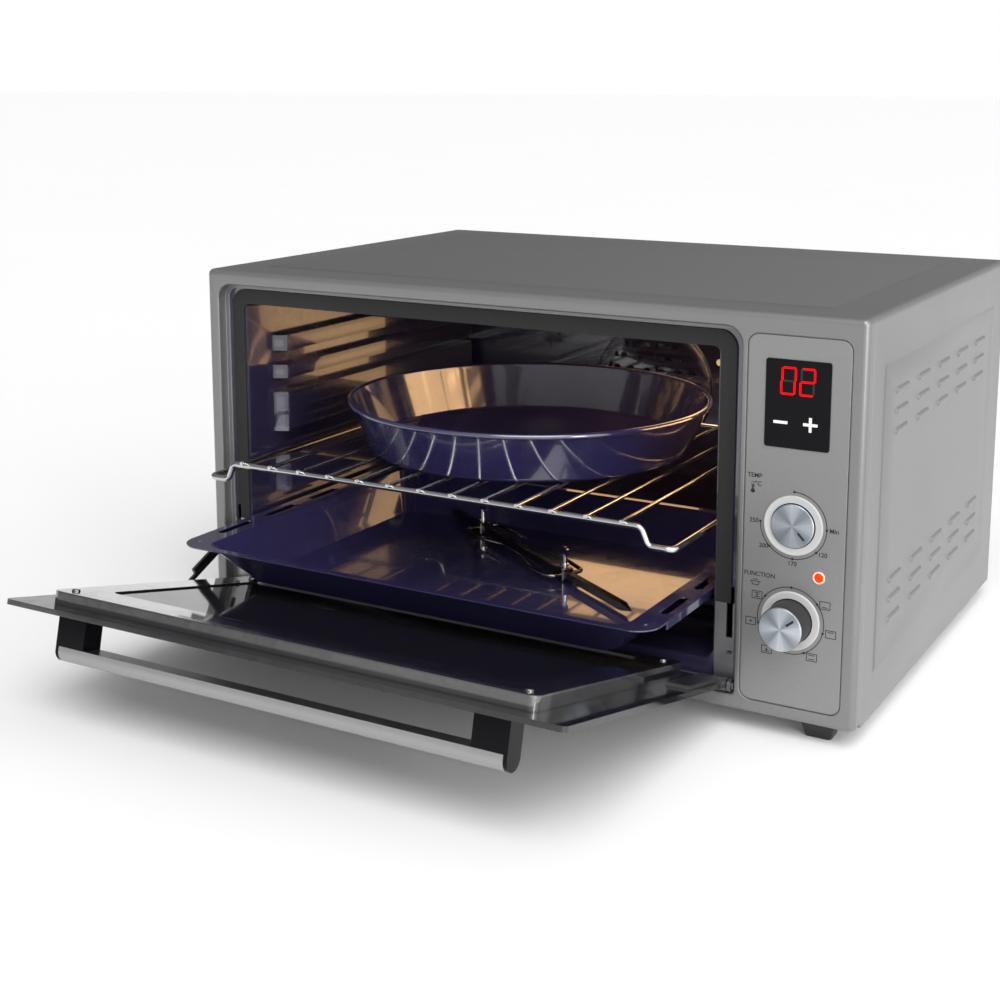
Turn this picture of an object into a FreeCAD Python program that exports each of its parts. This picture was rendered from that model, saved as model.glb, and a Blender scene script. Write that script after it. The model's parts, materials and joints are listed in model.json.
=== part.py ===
import FreeCAD, Part
import math
import os
import re

# Countertop oven: painted case, enamelled cavity, drop-down glass door, rack, pan, tray and spit.
# +Z is up, the door faces -Y, and the origin is the middle of the four feet on the worktop.

doc = FreeCAD.newDocument("CountertopOven")
sheet = doc.addObject("Spreadsheet::Sheet", "Sizes")

sizes = {
    # case
    "originBack": 115.545,
    "bodyWidth": 590, "bodyHeight": 303, "bodyDepth": 414, "footHeight": 15, "sheetWall": 1,
    "caseRound": 5, "topPress": 1, "sidePress": 0.8,
    "footInsetX": 32, "footInsetY": 24, "footTopX": 28, "footTopY": 24, "footTaper": 4,
    "frameDepth": 14, "frameWall": 1.8, "frameRound": 5, "lipWidth": 4,
    # door opening and cavity
    "ovenX": -40.5, "recessWidth": 485, "recessFloor": 12, "recessHeight": 278.5, "recessDepth": 10,
    "recessRound": 13, "recessFoot": 3, "sealWidth": 12.5, "sealTop": 273.4, "sealFoot": 79, "sealThick": 2,
    "cavityWidth": 442, "cavityFloor": 32, "cavityHeight": 245, "cavityStart": 12,
    "cavityDepth": 374, "cavityRound": 9, "guideRaise": 11.5, "guideStart": 47, "guideSlope": 6,
    "shelfOne": 201, "shelfTwo": 226, "shelfTop": 240, "shelfGap": 13,
    # door, measured upwards from its pivot when shut
    "doorWidth": 474, "doorTop": 270, "doorBelow": 4, "pivotRise": 18, "pivotInset": 2,
    "doorOpen": 76.7, "glassThick": 4, "glassOut": 1.45, "notchWide": 22, "notchTall": 18,
    "boxWidth": 413.5, "boxFoot": 16, "boxTop": 253, "boxThick": 10.5, "boxWall": 1.2,
    "windowWidth": 364, "windowFoot": 36, "windowTop": 218, "pinRadius": 3, "runFit": 0.05,
    "handleLength": 380, "handleRise": 248, "handleOut": 38, "handleThick": 12, "handleWide": 18,
    "bracketWide": 24, "cheekThick": 3,
    # hinge arms
    "armX": 234.4, "armThick": 2.4, "armFoot": 61, "armIn": 6, "armLength": 95, "armTall": 9,
    "armPin": 1.5, "armOpen": 24.3, "slotWide": 5, "slotFoot": 52, "slotTop": 91,
    # controls
    "panelX": 245.2, "panelWidth": 76.4, "panelHeight": 275.3, "panelFoot": 11.5, "panelRound": 8,
    "panelGroove": 0.8, "panelThick": 1.2, "displayWidth": 48.5, "displayHeight": 64.5,
    "displayFoot": 205.7, "dialX": 244.5, "tempRise": 149, "functionRise": 77.3, "ringRadius": 22.2,
    "sleeveWall": 2.6, "knobRadius": 16.25, "knobGap": 0.4, "knobLength": 26, "knobPop": 20,
    "knobProud": 2.3, "shaftRadius": 3, "lampX": 264.9, "lampRise": 113.1, "lampRadius": 4.6,
    # rack and pan
    "rackWidth": 426.7, "rackDepth": 344, "rackOut": 58, "rackLow": 133, "rackHigh": 147,
    "rackWire": 5, "rodWire": 3.2, "rodSink": 1.2, "rodPitch": 29.17, "rodCount": 13,
    "rackFlat": 376, "rackBend": 6, "rackPlay": 0.1,
    "panRadius": 158.6, "panBase": 141, "panHeight": 43.5, "panWall": 1.2, "panBack": 123.6,
    "panBead": 2.4,
    # baking tray, spit and forks
    "trayWidth": 432, "trayDepth": 322, "trayOut": 94, "trayRim": 84, "trayDeep": 34, "trayHem": 5,
    "trayWall": 1, "trayRound": 16, "rimSide": 22, "rimFront": 6, "slopeSide": 23.5,
    "slopeFront": 31, "slotPitch": 64, "rimSlot": 42,
    "spitSide": 6, "spitLength": 318, "spitX": 110.3, "spitBack": 15.3, "spitTurn": 147,
    "spitRise": 57, "forkOne": 106, "forkTwo": 260, "forkReach": 55, "forkSpread": 17,
    "forkWire": 3.6, "hubSide": 11,
    # works
    "elementRadius": 3.25, "upperElement": 262, "lowerElement": 41, "fanRise": 158, "fanRadius": 56,
    "bulgeDeep": 30, "bulbBack": 300, "bulbRise": 254.8, "probeBack": 60, "probeRise": 258,
    "bulbRim": 13.6, "driveBack": 200, "driveRise": 170, "shieldX": 201,
}
for row, (alias, value) in enumerate(sizes.items(), start=1):
    sheet.set(f"A{row}", alias)
    sheet.set(f"B{row}", str(value))
    sheet.setAlias(f"B{row}", alias)
doc.recompute()
aliasWord = re.compile(r"\b(" + "|".join(sizes) + r")\b")


def cell(alias):
    return float(sheet.get(alias))


def bind(item, prop, text):
    """Tie a property to an expression written with the sheet's names."""
    item.setExpression(prop, aliasWord.sub(r"Sizes.\1", text))


def place(item, at):
    for axis, text in zip("xyz", at):
        if text != "0":
            bind(item, f"Placement.Base.{axis}", text)


def block(size, at):
    item = doc.addObject("Part::Box", "Block")
    for prop, text in zip(("Length", "Width", "Height"), size):
        bind(item, prop, text)
    place(item, at)
    return item


def round_bar(radius, length, at, along="z"):
    item = doc.addObject("Part::Cylinder", "Bar")
    bind(item, "Radius", radius)
    bind(item, "Height", length)
    turn = {"x": FreeCAD.Rotation(FreeCAD.Vector(0, 1, 0), 90),
            "y": FreeCAD.Rotation(FreeCAD.Vector(1, 0, 0), -90),
            "z": FreeCAD.Rotation()}[along]
    item.Placement = FreeCAD.Placement(FreeCAD.Vector(), turn)
    place(item, at)
    return item


def fuse(*parts):
    item = doc.addObject("Part::MultiFuse", "Joined")
    item.Shapes = list(parts)
    return item


def cut(base, *tools):
    item = doc.addObject("Part::Cut", "Opened")
    item.Base = base
    item.Tool = tools[0] if len(tools) == 1 else fuse(*tools)
    return item


def soften(base, radius, choose):
    """Round the edges of base that choose(edge) picks."""
    doc.recompute()
    item = doc.addObject("Part::Fillet", "Softened")
    item.Base = base
    picked = [n for n, edge in enumerate(base.Shape.Edges, start=1) if choose(edge)]
    item.Edges = [(n, radius, radius) for n in picked]
    return item


def runs(axis):
    """Edge test: a straight edge along one axis."""
    def test(edge):
        size = [edge.BoundBox.XLength, edge.BoundBox.YLength, edge.BoundBox.ZLength]
        others = [s for k, s in enumerate(size) if k != "xyz".index(axis)]
        return max(others) < 1e-4 and size["xyz".index(axis)] > 1e-3
    return test


def group(*items):
    """Separate solids that share one node."""
    item = doc.addObject("Part::Compound", "Group")
    item.Links = list(items)
    return item


def shaped(shape):
    """A feature whose outline the sheet drives through this script."""
    item = doc.addObject("Part::Feature", "Shaped")
    item.Shape = shape
    return item


parts = []


def finish(item, name):
    """Name a piece and move it back, so that the origin is the middle of all that the open oven covers."""
    moved = doc.addObject("Part::Compound", "Placed")
    moved.Links = [item]
    moved.Label = name
    bind(moved, "Placement.Base.y", "originBack")
    parts.append(moved)


front = "-bodyDepth/2"
floor = "footHeight"
vec = FreeCAD.Vector


# ---- case -----------------------------------------------------------------

def rounded(size, at, radius, axis="y"):
    """A block whose edges along one axis are rounded."""
    return soften(block(size, at), radius, runs(axis))


def recess(size, at, radius, foot_radius):
    """A block along Y with one radius for its upper edges and one for its lower edges."""
    shape = block(size, at)
    doc.recompute()
    middle = shape.Shape.BoundBox.Center.z
    shape = soften(shape, radius, lambda e: runs("y")(e) and e.BoundBox.ZMin > middle)
    return soften(shape, foot_radius, lambda e: runs("y")(e) and e.BoundBox.ZMax < middle - radius)


def centred(width, depth, height, x, y, z):
    return block((width, depth, height), (f"{x}-({width})/2", y, z))


def feet():
    """Four tapered feet, one solid each."""
    wide, deep, tall, taper = (cell(n) for n in ("footTopX", "footTopY", "footHeight", "footTaper"))
    half_x = cell("bodyWidth") / 2 - cell("footInsetX")
    half_y = cell("bodyDepth") / 2 - cell("footInsetY")

    def outline(shrink, z):
        w, d = wide / 2 - shrink, deep / 2 - shrink
        corners = [vec(-w, -d, z), vec(w, -d, z), vec(w, d, z), vec(-w, d, z), vec(-w, -d, z)]
        return Part.makePolygon(corners)

    foot = Part.makeLoft([outline(taper, 0), outline(0, tall)], True, True)
    upright = [e for e in foot.Edges if e.BoundBox.ZLength > tall / 2]
    foot = foot.makeFillet(3, upright)
    spots = [(sx * half_x, sy * half_y) for sx in (-1, 1) for sy in (-1, 1)]
    return shaped(Part.makeCompound([foot.translated(vec(x, y, 0)) for x, y in spots]))


def base_plate():
    plate = centred("bodyWidth-2*sheetWall-1", "bodyDepth-frameDepth-2*sheetWall", "sheetWall",
                    "0", f"{front}+frameDepth", floor)
    slots = [centred("44", "5", "sheetWall+2", f"{column}*64", f"{row}", "footHeight-1")
             for column in (-3, -2, -1, 0, 1) for row in (-95, -75, 75, 95)]
    return cut(plate, *slots)


def louvre_spots():
    return [(row, column) for row in range(3) for column in range(5)]


def louvre_hood(side):
    """One pressed scoop: a rounded nose that rises from the sheet, open towards the back."""
    length, radius, sunk, wall = 31, 4, 2.4, 0.8

    def capsule(size):
        nose = Part.makeSphere(size, vec(-side * sunk, radius, 0))
        barrel = Part.makeCylinder(size, length - radius, vec(-side * sunk, radius, 0), vec(0, 1, 0))
        return nose.fuse(barrel)

    keep = Part.makeBox(radius, length, 2 * radius, vec(0 if side > 0 else -radius, 0, -radius))
    return capsule(radius).cut(capsule(radius - wall)).common(keep)


def housing_wrapper():
    """Top and both sides in one bent sheet, with pressed panels and louvres."""
    deep = "bodyDepth-frameDepth-sheetWall"
    start = f"{front}+frameDepth"
    outer = soften(block(("bodyWidth", deep, "bodyHeight"), ("-bodyWidth/2", start, floor)),
                   cell("caseRound"), lambda e: runs("y")(e) and e.BoundBox.ZMin > cell("bodyHeight") / 2)
    inner = soften(block(("bodyWidth-2*sheetWall", f"{deep}+2", "bodyHeight"),
                         ("-bodyWidth/2+sheetWall", f"{start}-1", "footHeight-sheetWall")),
                   cell("caseRound") - cell("sheetWall"),
                   lambda e: runs("y")(e) and e.BoundBox.ZMin > cell("bodyHeight") / 2)
    # the panels stand proud by a press depth, with sloped borders
    top, side = cell("topPress"), cell("sidePress")
    half_x, half_y = cell("bodyWidth") / 2, cell("bodyDepth") / 2
    roof = cell("footHeight") + cell("bodyHeight")

    def press(width, length, rise):
        def border(shrink, z):
            w, d = width / 2 - shrink, length / 2 - shrink
            corners = [vec(-w, -d, z), vec(w, -d, z), vec(w, d, z), vec(-w, d, z), vec(-w, -d, z)]
            return Part.makePolygon(corners)
        return Part.makeLoft([border(0, 0), border(2.2 * rise, rise)], True, True)

    top_panel = shaped(press(514, 352, top).translated(vec(0, half_y - 25 - 176, roof)))
    panels = [top_panel]
    for hand in (-1, 1):
        panel = press(232, 334, side)
        panel.rotate(vec(0, 0, 0), vec(0, 1, 0), 90 * hand)
        panel.translate(vec(hand * half_x, half_y - 39 - 167, cell("footHeight") + 33.7 + 116))
        panels.append(shaped(panel))
    hoods, slots = [], []
    for hand in (-1, 1):
        face = hand * (half_x + side)
        for lowest in (65, 210):
            for row, column in louvre_spots():
                y = -half_y + 69 + 60 * column
                z = cell("footHeight") + lowest + 15.5 * row
                hood = louvre_hood(hand)
                hood.translate(vec(face, y, z))
                hoods.append(hood)
                slots.append(Part.makeBox(6, 26, 2.2, vec(face - 3, y + 4, z - 1.1)))
    slotted = cut(fuse(cut(outer, inner), *panels), shaped(Part.makeCompound(slots)))
    return fuse(slotted, shaped(Part.makeCompound(hoods)))


def rear_cover():
    """Back sheet with a motor bulge, air slots and the hole for the inlet bush."""
    back = "bodyDepth/2-sheetWall"
    plate = centred("bodyWidth-2*sheetWall-0.6", "sheetWall", "bodyHeight-sheetWall-0.6",
                    "0", back, floor)
    bulge = soften(centred("190", "bulgeDeep+sheetWall", "190", "ovenX", back, "footHeight+fanRise-95"),
                   10, lambda e: runs("y")(e) or e.BoundBox.YMin > cell("bodyDepth") / 2 + 5)
    hollow = centred("188-sheetWall", "bulgeDeep+sheetWall", "188-sheetWall", "ovenX",
                     "bodyDepth/2-2*sheetWall", "footHeight+fanRise-94+sheetWall/2")
    hollow = soften(hollow, 8.5, lambda e: runs("y")(e) or e.BoundBox.YMin > cell("bodyDepth") / 2 + 5)
    slots = [centred("46", "2*bulgeDeep", "4", f"{x}", "bodyDepth/2-bulgeDeep", f"footHeight+{z}")
             for x in (-230, 110, 170, 230) for z in (80, 94, 108, 122, 136, 150)]
    vents = [centred("120", "2*bulgeDeep", "4", "ovenX", "bodyDepth/2", f"footHeight+fanRise+{z}")
             for z in (-54, -42, -30, 26, 38, 50)]
    inlet = round_bar("6.5", "4*sheetWall", ("225", "bodyDepth/2-3*sheetWall", "footHeight+32"), "y")
    return cut(fuse(plate, bulge), hollow, inlet, *slots, *vents)


def cord_inlet():
    """Rubber bush that fills the inlet hole."""
    bush = round_bar("6.5", "sheetWall", ("225", "bodyDepth/2-sheetWall", "footHeight+32"), "y")
    collar = round_bar("10", "5", ("225", "bodyDepth/2", "footHeight+32"), "y")
    inner = round_bar("9", "2", ("225", "bodyDepth/2-sheetWall-2", "footHeight+32"), "y")
    bore = round_bar("3.6", "20", ("225", "bodyDepth/2-10", "footHeight+32"), "y")
    return cut(fuse(bush, collar, inner), bore)


def front_frame():
    """Pressed fascia: rolled outer edge, stepped door recess and the seat of the control panel."""
    outside = lambda e: runs("y")(e) or e.BoundBox.YMax < -cell("bodyDepth") / 2 + 1e-3
    shell = soften(centred("bodyWidth", "frameDepth", "bodyHeight", "0", front, floor),
                   cell("frameRound"), outside)
    hollow = centred("bodyWidth-2*frameWall", "frameDepth", "bodyHeight-2*frameWall",
                     "0", f"{front}+frameWall", "footHeight+frameWall")
    inside = lambda e: runs("y")(e) or e.BoundBox.YMax < -cell("bodyDepth") / 2 + cell("frameWall") + 1e-3
    hollow = soften(hollow, cell("frameRound") - cell("frameWall"), inside)
    low = "footHeight+recessFloor"
    collar = recess(("recessWidth+2*frameWall", "recessDepth+sealThick-frameWall/2",
                     "recessHeight+2*frameWall"),
                    ("ovenX-recessWidth/2-frameWall", f"{front}+frameWall/2", f"{low}-frameWall"),
                    cell("recessRound") + cell("frameWall"), cell("recessFoot") + cell("frameWall"))
    seat = rounded(("panelWidth+8", "3", "panelHeight+8"),
                   ("panelX-panelWidth/2-4", f"{front}+frameWall/2", "footHeight+panelFoot-4"),
                   cell("panelRound"))
    body = fuse(cut(shell, hollow), collar, seat)
    opening = recess(("recessWidth", "recessDepth+1", "recessHeight"),
                     ("ovenX-recessWidth/2", f"{front}-1", low), cell("recessRound"), cell("recessFoot"))
    throat = recess(("recessWidth-2*lipWidth", "2*recessDepth", "recessHeight-2*lipWidth"),
                    ("ovenX-recessWidth/2+lipWidth", f"{front}-1", f"{low}+lipWidth"),
                    cell("recessRound") - cell("lipWidth"), 1)
    pocket = rounded(("panelWidth+2*panelGroove", "1+panelThick+0.5", "panelHeight+2*panelGroove"),
                     ("panelX-panelWidth/2-panelGroove", f"{front}-1",
                      "footHeight+panelFoot-panelGroove"), cell("panelRound") + cell("panelGroove"))
    body = cut(body, opening, throat, pocket, *panel_holes(0.4))

    def mouth(edge):
        box = edge.BoundBox
        at_face = abs(box.YMin + cell("bodyDepth") / 2) < 1e-3 and box.YLength < 1e-3
        half = cell("recessWidth") / 2 + 1e-3
        within = abs(box.Center.x - cell("ovenX")) < half and box.XMax < cell("ovenX") + half
        return at_face and within and box.ZMin > cell("footHeight") + cell("recessFloor") - 1e-3
    return soften(body, 1.6, mouth)


def panel_holes(play):
    """The holes for both dials, the display and the lamp, wider than their pieces by play."""
    reach = ("20", "-bodyDepth/2-5")
    dials = [round_bar(f"knobRadius+knobGap+sleeveWall+{play}", reach[0],
                       ("dialX", reach[1], f"footHeight+{rise}"), "y")
             for rise in ("tempRise", "functionRise")]
    lamp = round_bar(f"lampRadius-1+{play}", reach[0], ("lampX", reach[1], "footHeight+lampRise"), "y")
    window = centred(f"displayWidth-6+2*{play}", reach[0], f"displayHeight-6+2*{play}",
                     "panelX-0.3", reach[1], f"footHeight+displayFoot+3-{play}")
    return dials + [lamp, window]


def control_panel():
    plate = rounded(("panelWidth", "panelThick", "panelHeight"),
                    ("panelX-panelWidth/2", f"{front}+0.5", "footHeight+panelFoot"), cell("panelRound"))
    return cut(plate, *panel_holes(0.2))


def display_window():
    face = rounded(("displayWidth", "0.8", "displayHeight"),
                   ("panelX-0.3-displayWidth/2", f"{front}-0.3", "footHeight+displayFoot"), 2)
    plug = centred("displayWidth-6", "3", "displayHeight-6", "panelX-0.3", f"{front}+0.5",
                   "footHeight+displayFoot+3")
    return fuse(face, plug)


def indicator_lamp():
    """Small lens with a collar."""
    collar = round_bar("lampRadius", "1.3", ("lampX", f"{front}-0.8", "footHeight+lampRise"), "y")
    stem = round_bar("lampRadius-1", "14", ("lampX", f"{front}+0.5", "footHeight+lampRise"), "y")
    dish = round_bar("lampRadius-1.2", "0.6", ("lampX", f"{front}-0.8", "footHeight+lampRise"), "y")
    lens = soften(round_bar("lampRadius-1.2", "1.6", ("lampX", f"{front}-1", "footHeight+lampRise"), "y"),
                  0.9, lambda e: e.BoundBox.YMax < -cell("bodyDepth") / 2 - 0.9)
    return fuse(cut(fuse(collar, stem), dish), lens)


# ---- dials ----------------------------------------------------------------

def dial_ring(rise):
    """Sloped bezel with the sleeve that guides the knob."""
    def at(out):
        return ("dialX", f"{front}+0.5-{out}", f"footHeight+{rise}")
    rim = soften(round_bar("ringRadius", "1.3", at("1.3"), "y"), 0.6,
                 lambda e: e.BoundBox.YMax < -cell("bodyDepth") / 2 - 0.7)
    sleeve = round_bar("knobRadius+knobGap+sleeveWall", "24", at("0"), "y")
    slope = doc.addObject("Part::Cone", "Slope")
    bind(slope, "Radius1", "ringRadius-1.4")
    bind(slope, "Radius2", "knobRadius+knobGap")
    bind(slope, "Height", "2.4")
    slope.Placement = FreeCAD.Placement(vec(), FreeCAD.Rotation(vec(1, 0, 0), -90))
    place(slope, at("1.3001"))
    bore = round_bar("knobRadius+knobGap", "60", at("30"), "y")
    return cut(fuse(rim, sleeve), slope, bore)


def knob(rise, out):
    """Cup-shaped cap with a hub that slides on the dial shaft."""
    face = f"{front}-knobProud-{out}"
    cup = soften(round_bar("knobRadius", "knobLength", ("dialX", face, f"footHeight+{rise}"), "y"),
                 0.8, lambda e: e.BoundBox.YMax < -cell("bodyDepth") / 2 - cell("knobProud") * 0.5)
    hollow = round_bar("knobRadius-1.8", "knobLength", ("dialX", f"{face}+2.2", f"footHeight+{rise}"), "y")
    hub = round_bar("shaftRadius+2.4", "knobLength-1", ("dialX", f"{face}+1", f"footHeight+{rise}"), "y")
    bore = round_bar("shaftRadius+runFit", "knobLength", ("dialX", f"{face}+1.6", f"footHeight+{rise}"), "y")
    return cut(fuse(cut(cup, hollow), hub), bore)


def dial_shaft(rise):
    """Round shaft from the switch to the knob, with a stop collar."""
    start = f"{front}-knobProud+2.4"
    shaft = round_bar("shaftRadius", "44", ("dialX", start, f"footHeight+{rise}"), "y")
    collar = round_bar("shaftRadius+2.5", "2", ("dialX", f"{start}+30", f"footHeight+{rise}"), "y")
    return fuse(shaft, collar)


def switch_body(rise, wide, tall, deep):
    """Control behind a dial, bored for the shaft's end."""
    start = f"{front}-knobProud+2.4+33"
    case = soften(centred(f"{wide}", f"{deep}", f"{tall}", "dialX", start, f"footHeight+{rise}-{tall}/2"),
                  2, runs("y"))
    bore = round_bar("shaftRadius+runFit", "12", ("dialX", f"{start}-0.5", f"footHeight+{rise}"), "y")
    tabs = [centred("6", "9", "0.8", f"dialX+{x}", f"{start}+{deep}", f"footHeight+{rise}+{z}")
            for x in (-9, 9) for z in (-8, 8)]
    return fuse(cut(case, bore), *tabs)


def timer_board():
    """Circuit board behind the display, with the display block and parts on it."""
    start = f"{front}+12"
    board = centred("58", "1.6", "84", "panelX", start, "footHeight+displayFoot-14")
    digits = centred("40", "6", "30", "panelX", f"{start}-6", "footHeight+displayFoot+30")
    relay = centred("19", "15", "16", "panelX-14", f"{start}+1.6", "footHeight+displayFoot")
    coil = centred("22", "18", "24", "panelX+14", f"{start}+1.6", "footHeight+displayFoot+30")
    cans = [round_bar("5", "12", (f"panelX+{x}", f"{start}+1.6", "footHeight+displayFoot+12"), "y")
            for x in (8, 22)]
    return fuse(board, digits, relay, coil, *cans)


# ---- cavity ---------------------------------------------------------------

def front_y(back):
    """Depth behind the fascia's front plane, as a number."""
    return back - cell("bodyDepth") / 2


def up(rise):
    """Height above the underside of the body, as a number."""
    return rise + cell("footHeight")


def rim_wire(x0, x1, y0, y1, z, radius):
    """A level rectangle with round corners."""
    edges = []
    corners = [(x1, y0, -90), (x1, y1, 0), (x0, y1, 90), (x0, y0, 180)]
    centres = [(min(max(x, x0 + radius), x1 - radius), min(max(y, y0 + radius), y1 - radius), start)
               for x, y, start in corners]
    last = None
    for x, y, start in centres + centres[:1]:
        def on(angle):
            return vec(x + radius * math.cos(math.radians(angle)),
                       y + radius * math.sin(math.radians(angle)), z)
        if last is not None:
            edges.append(Part.LineSegment(last, on(start)).toShape())
        if len(edges) < 8:
            edges.append(Part.Arc(on(start), on(start + 45), on(start + 90)).toShape())
        last = on(start + 90)
    return Part.Wire(edges)


def bent_path(points, bend):
    """Straight runs joined by tangent arcs."""
    edges = []
    here = points[0]
    for before, corner, after in zip(points, points[1:], points[2:]):
        back = (before - corner).normalize()
        ahead = (after - corner).normalize()
        half = back.getAngle(ahead) / 2
        middle = (back + ahead).normalize() * (bend / math.sin(half) - bend)
        reach = bend / math.tan(half)
        edges.append(Part.LineSegment(here, corner + back * reach).toShape())
        edges.append(Part.Arc(corner + back * reach, corner + middle, corner + ahead * reach).toShape())
        here = corner + ahead * reach
    edges.append(Part.LineSegment(here, points[-1]).toShape())
    return Part.Wire(edges)


def tube(points, radius, bend):
    ring = Part.Wire(Part.makeCircle(radius, points[0], points[1] - points[0]))
    return bent_path(points, bend).makePipeShell([ring], True, False)


def guide_levels():
    """Foot and top of each raised band of the side walls; the gaps between them carry the shelves."""
    tray_seat = cell("trayRim") - cell("trayWall") - cell("trayHem") - cell("rackPlay")
    rack_seat = cell("rackLow") - cell("rackWire") / 2 - cell("rackPlay")
    gap = cell("shelfGap")
    return [(cell("cavityFloor") + 14, tray_seat), (cell("trayRim") + gap, rack_seat),
            (rack_seat + 22, cell("shelfOne") - gap), (cell("shelfOne"), cell("shelfTwo") - gap),
            (cell("shelfTwo"), cell("shelfTop"))]


def guide_band(low, high, inset):
    """One raised band on the left wall, hollow from behind when cut by a deeper copy."""
    wall = cell("ovenX") - cell("cavityWidth") / 2 - inset
    face = cell("ovenX") - cell("cavityWidth") / 2 + cell("guideRaise") - inset
    start, end = front_y(cell("guideStart")), front_y(cell("cavityStart") + cell("cavityDepth")) - 6
    slope = cell("guideSlope")
    points = [(wall - 0.01, start), (face, start + slope), (face, end - slope), (wall - 0.01, end)]
    outline = Part.makePolygon([vec(x, y, up(low) + inset) for x, y in points + points[:1]])
    return Part.Face(outline).extrude(vec(0, 0, high - low - 2 * inset))


def both_sides(shape):
    """The shape and its mirror image about the oven's middle plane."""
    return [shape, shape.mirror(vec(cell("ovenX"), 0, 0), vec(1, 0, 0))]


def cavity_liner():
    """Pressed oven chamber with a front flange, shelf guides and openings for the works."""
    back = f"{front}+cavityStart"
    low = "footHeight+cavityFloor"
    outer = rounded(("cavityWidth+2*sheetWall", "cavityDepth+sheetWall", "cavityHeight+2*sheetWall"),
                    ("ovenX-cavityWidth/2-sheetWall", back, f"{low}-sheetWall"),
                    cell("cavityRound") + cell("sheetWall"))
    flange = recess(("recessWidth", "sheetWall", "recessHeight"),
                    ("ovenX-recessWidth/2", back, "footHeight+recessFloor"), cell("recessRound"), 3)
    inner = rounded(("cavityWidth", "cavityDepth+1", "cavityHeight"),
                    ("ovenX-cavityWidth/2", f"{back}-1", low), cell("cavityRound"))
    bands, hollows = [], []
    for foot, top in guide_levels():
        bands += both_sides(guide_band(foot, top, 0))
        hollows += both_sides(guide_band(foot, top, cell("sheetWall")))
    shell = cut(fuse(outer, flange), inner)
    shell = fuse(shell, shaped(Part.makeCompound(bands)))
    rear = f"{back}+cavityDepth-1"
    fan = [round_bar("4", "4", (f"ovenX+{ring}*{math.cos(math.radians(turn)):.4f}", rear,
                                f"footHeight+fanRise+{ring}*{math.sin(math.radians(turn)):.4f}"), "y")
           for ring, count in ((16, 6), (30, 12), (44, 18)) for turn in range(0, 360, 360 // count)]
    centre = round_bar("5", "4", ("ovenX", rear, "footHeight+fanRise"), "y")
    lamp = round_bar("13", "4", ("ovenX+cavityWidth/2-1", f"{front}+bulbBack", "footHeight+bulbRise"), "x")
    drive = round_bar("6.5", "20", ("ovenX+cavityWidth/2-guideRaise-2", f"{front}+driveBack",
                                    "footHeight+driveRise"), "x")
    probe = round_bar("3", "4", ("ovenX+cavityWidth/2-1", f"{front}+probeBack", "footHeight+probeRise"), "x")
    leads = [round_bar("elementRadius+0.3", "4", ("ovenX+cavityWidth/2-1", f"{front}+{y}",
                                                   f"footHeight+{rise}"), "x")
             for rise in ("upperElement", "lowerElement") for y in (110, 170, 210, 270)]
    slots = [centred("slotWide", "4", "slotTop-slotFoot", f"ovenX+{hand}*armX", f"{back}-1",
                     "footHeight+slotFoot") for hand in (-1, 1)]
    return cut(shell, shaped(Part.makeCompound(hollows)), centre, lamp, drive, probe,
               *fan, *leads, *slots)


def door_seal():
    """Woven gasket round the top and sides of the cavity's mouth."""
    wide = "cavityWidth+2.7+2*sealWidth"
    outer = rounded((wide, "sealThick", "sealTop+sealWidth"),
                    (f"ovenX-({wide})/2", f"{front}+recessDepth", floor), 14)
    inner = rounded(("cavityWidth+2.7", "sealThick+2", "sealTop"),
                    ("ovenX-(cavityWidth+2.7)/2", f"{front}+recessDepth-1", floor), 6)
    below = centred("2*cavityWidth", "sealThick+2", "sealFoot", "ovenX", f"{front}+recessDepth-1", floor)
    way = centred("slotWide", "sealThick+2", "slotTop-slotFoot", "ovenX-armX",
                  f"{front}+recessDepth-1", "footHeight+slotFoot")
    return cut(outer, inner, below, way)


def hinge_plate(hand):
    """Steel plate beside the mouth's foot, slotted for the hinge arm."""
    inner, outer = "cavityWidth/2+1.6", "recessWidth/2-lipWidth-0.2"
    low = "recessFloor+lipWidth+2.4"
    x = f"ovenX+{hand}*({inner}+{outer})/2"
    plate = centred(f"{outer}-({inner})", "sealThick", f"sealFoot-0.2-({low})", x,
                    f"{front}+recessDepth", f"footHeight+{low}")
    slot = centred("slotWide", "sealThick+2", "slotTop-slotFoot", f"ovenX+{hand}*armX",
                   f"{front}+recessDepth-1", "footHeight+slotFoot")
    hole = centred("5", "sealThick+2", "3", f"ovenX+{hand}*armX", f"{front}+recessDepth-1",
                   "footHeight+39")
    return cut(plate, slot, hole)


def hinge_pin(hand):
    """Pin from the recess wall into the door's lug."""
    centre_y, centre_z = f"{front}+pivotInset", "footHeight+pivotRise"
    near = "ovenX-recessWidth/2" if hand < 0 else "ovenX+recessWidth/2-20"
    return round_bar("pinRadius", "20", (near, centre_y, centre_z), "x")


def hinge_spring(hand):
    """Torsion spring round the pin, between the recess wall and the lug."""
    centre_y, centre_z = f"{front}+pivotInset", "footHeight+pivotRise"
    near = "ovenX-recessWidth/2+1.4" if hand < 0 else "ovenX+recessWidth/2-4.4"
    coil = round_bar("pinRadius+1.8", "3", (near, centre_y, centre_z), "x")
    bore = round_bar("pinRadius+0.2", "12", (f"{near}-2", centre_y, centre_z), "x")
    return cut(coil, bore)


# ---- door -----------------------------------------------------------------
# Each piece is drawn shut, then turned down about the pivot by doorOpen.

pivotY, pivotZ = f"{front}+pivotInset", "footHeight+pivotRise"


def swing(item, angle=None, about=None):
    """Turn a piece down about the door's pivot, or another point of the door."""
    turn = FreeCAD.Rotation(vec(1, 0, 0), cell("doorOpen") if angle is None else angle)
    point = about or vec(0, front_y(cell("pivotInset")), up(cell("pivotRise")))
    item.Placement = FreeCAD.Placement(point - turn.multVec(point), turn)
    return item


def on_door(width, out, thick, foot, top, x="ovenX"):
    """A block on the door: out is its outer face's distance behind the pivot."""
    return centred(width, thick, f"({top})-({foot})", x, f"{pivotY}+({out})", f"{pivotZ}+({foot})")


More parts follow.
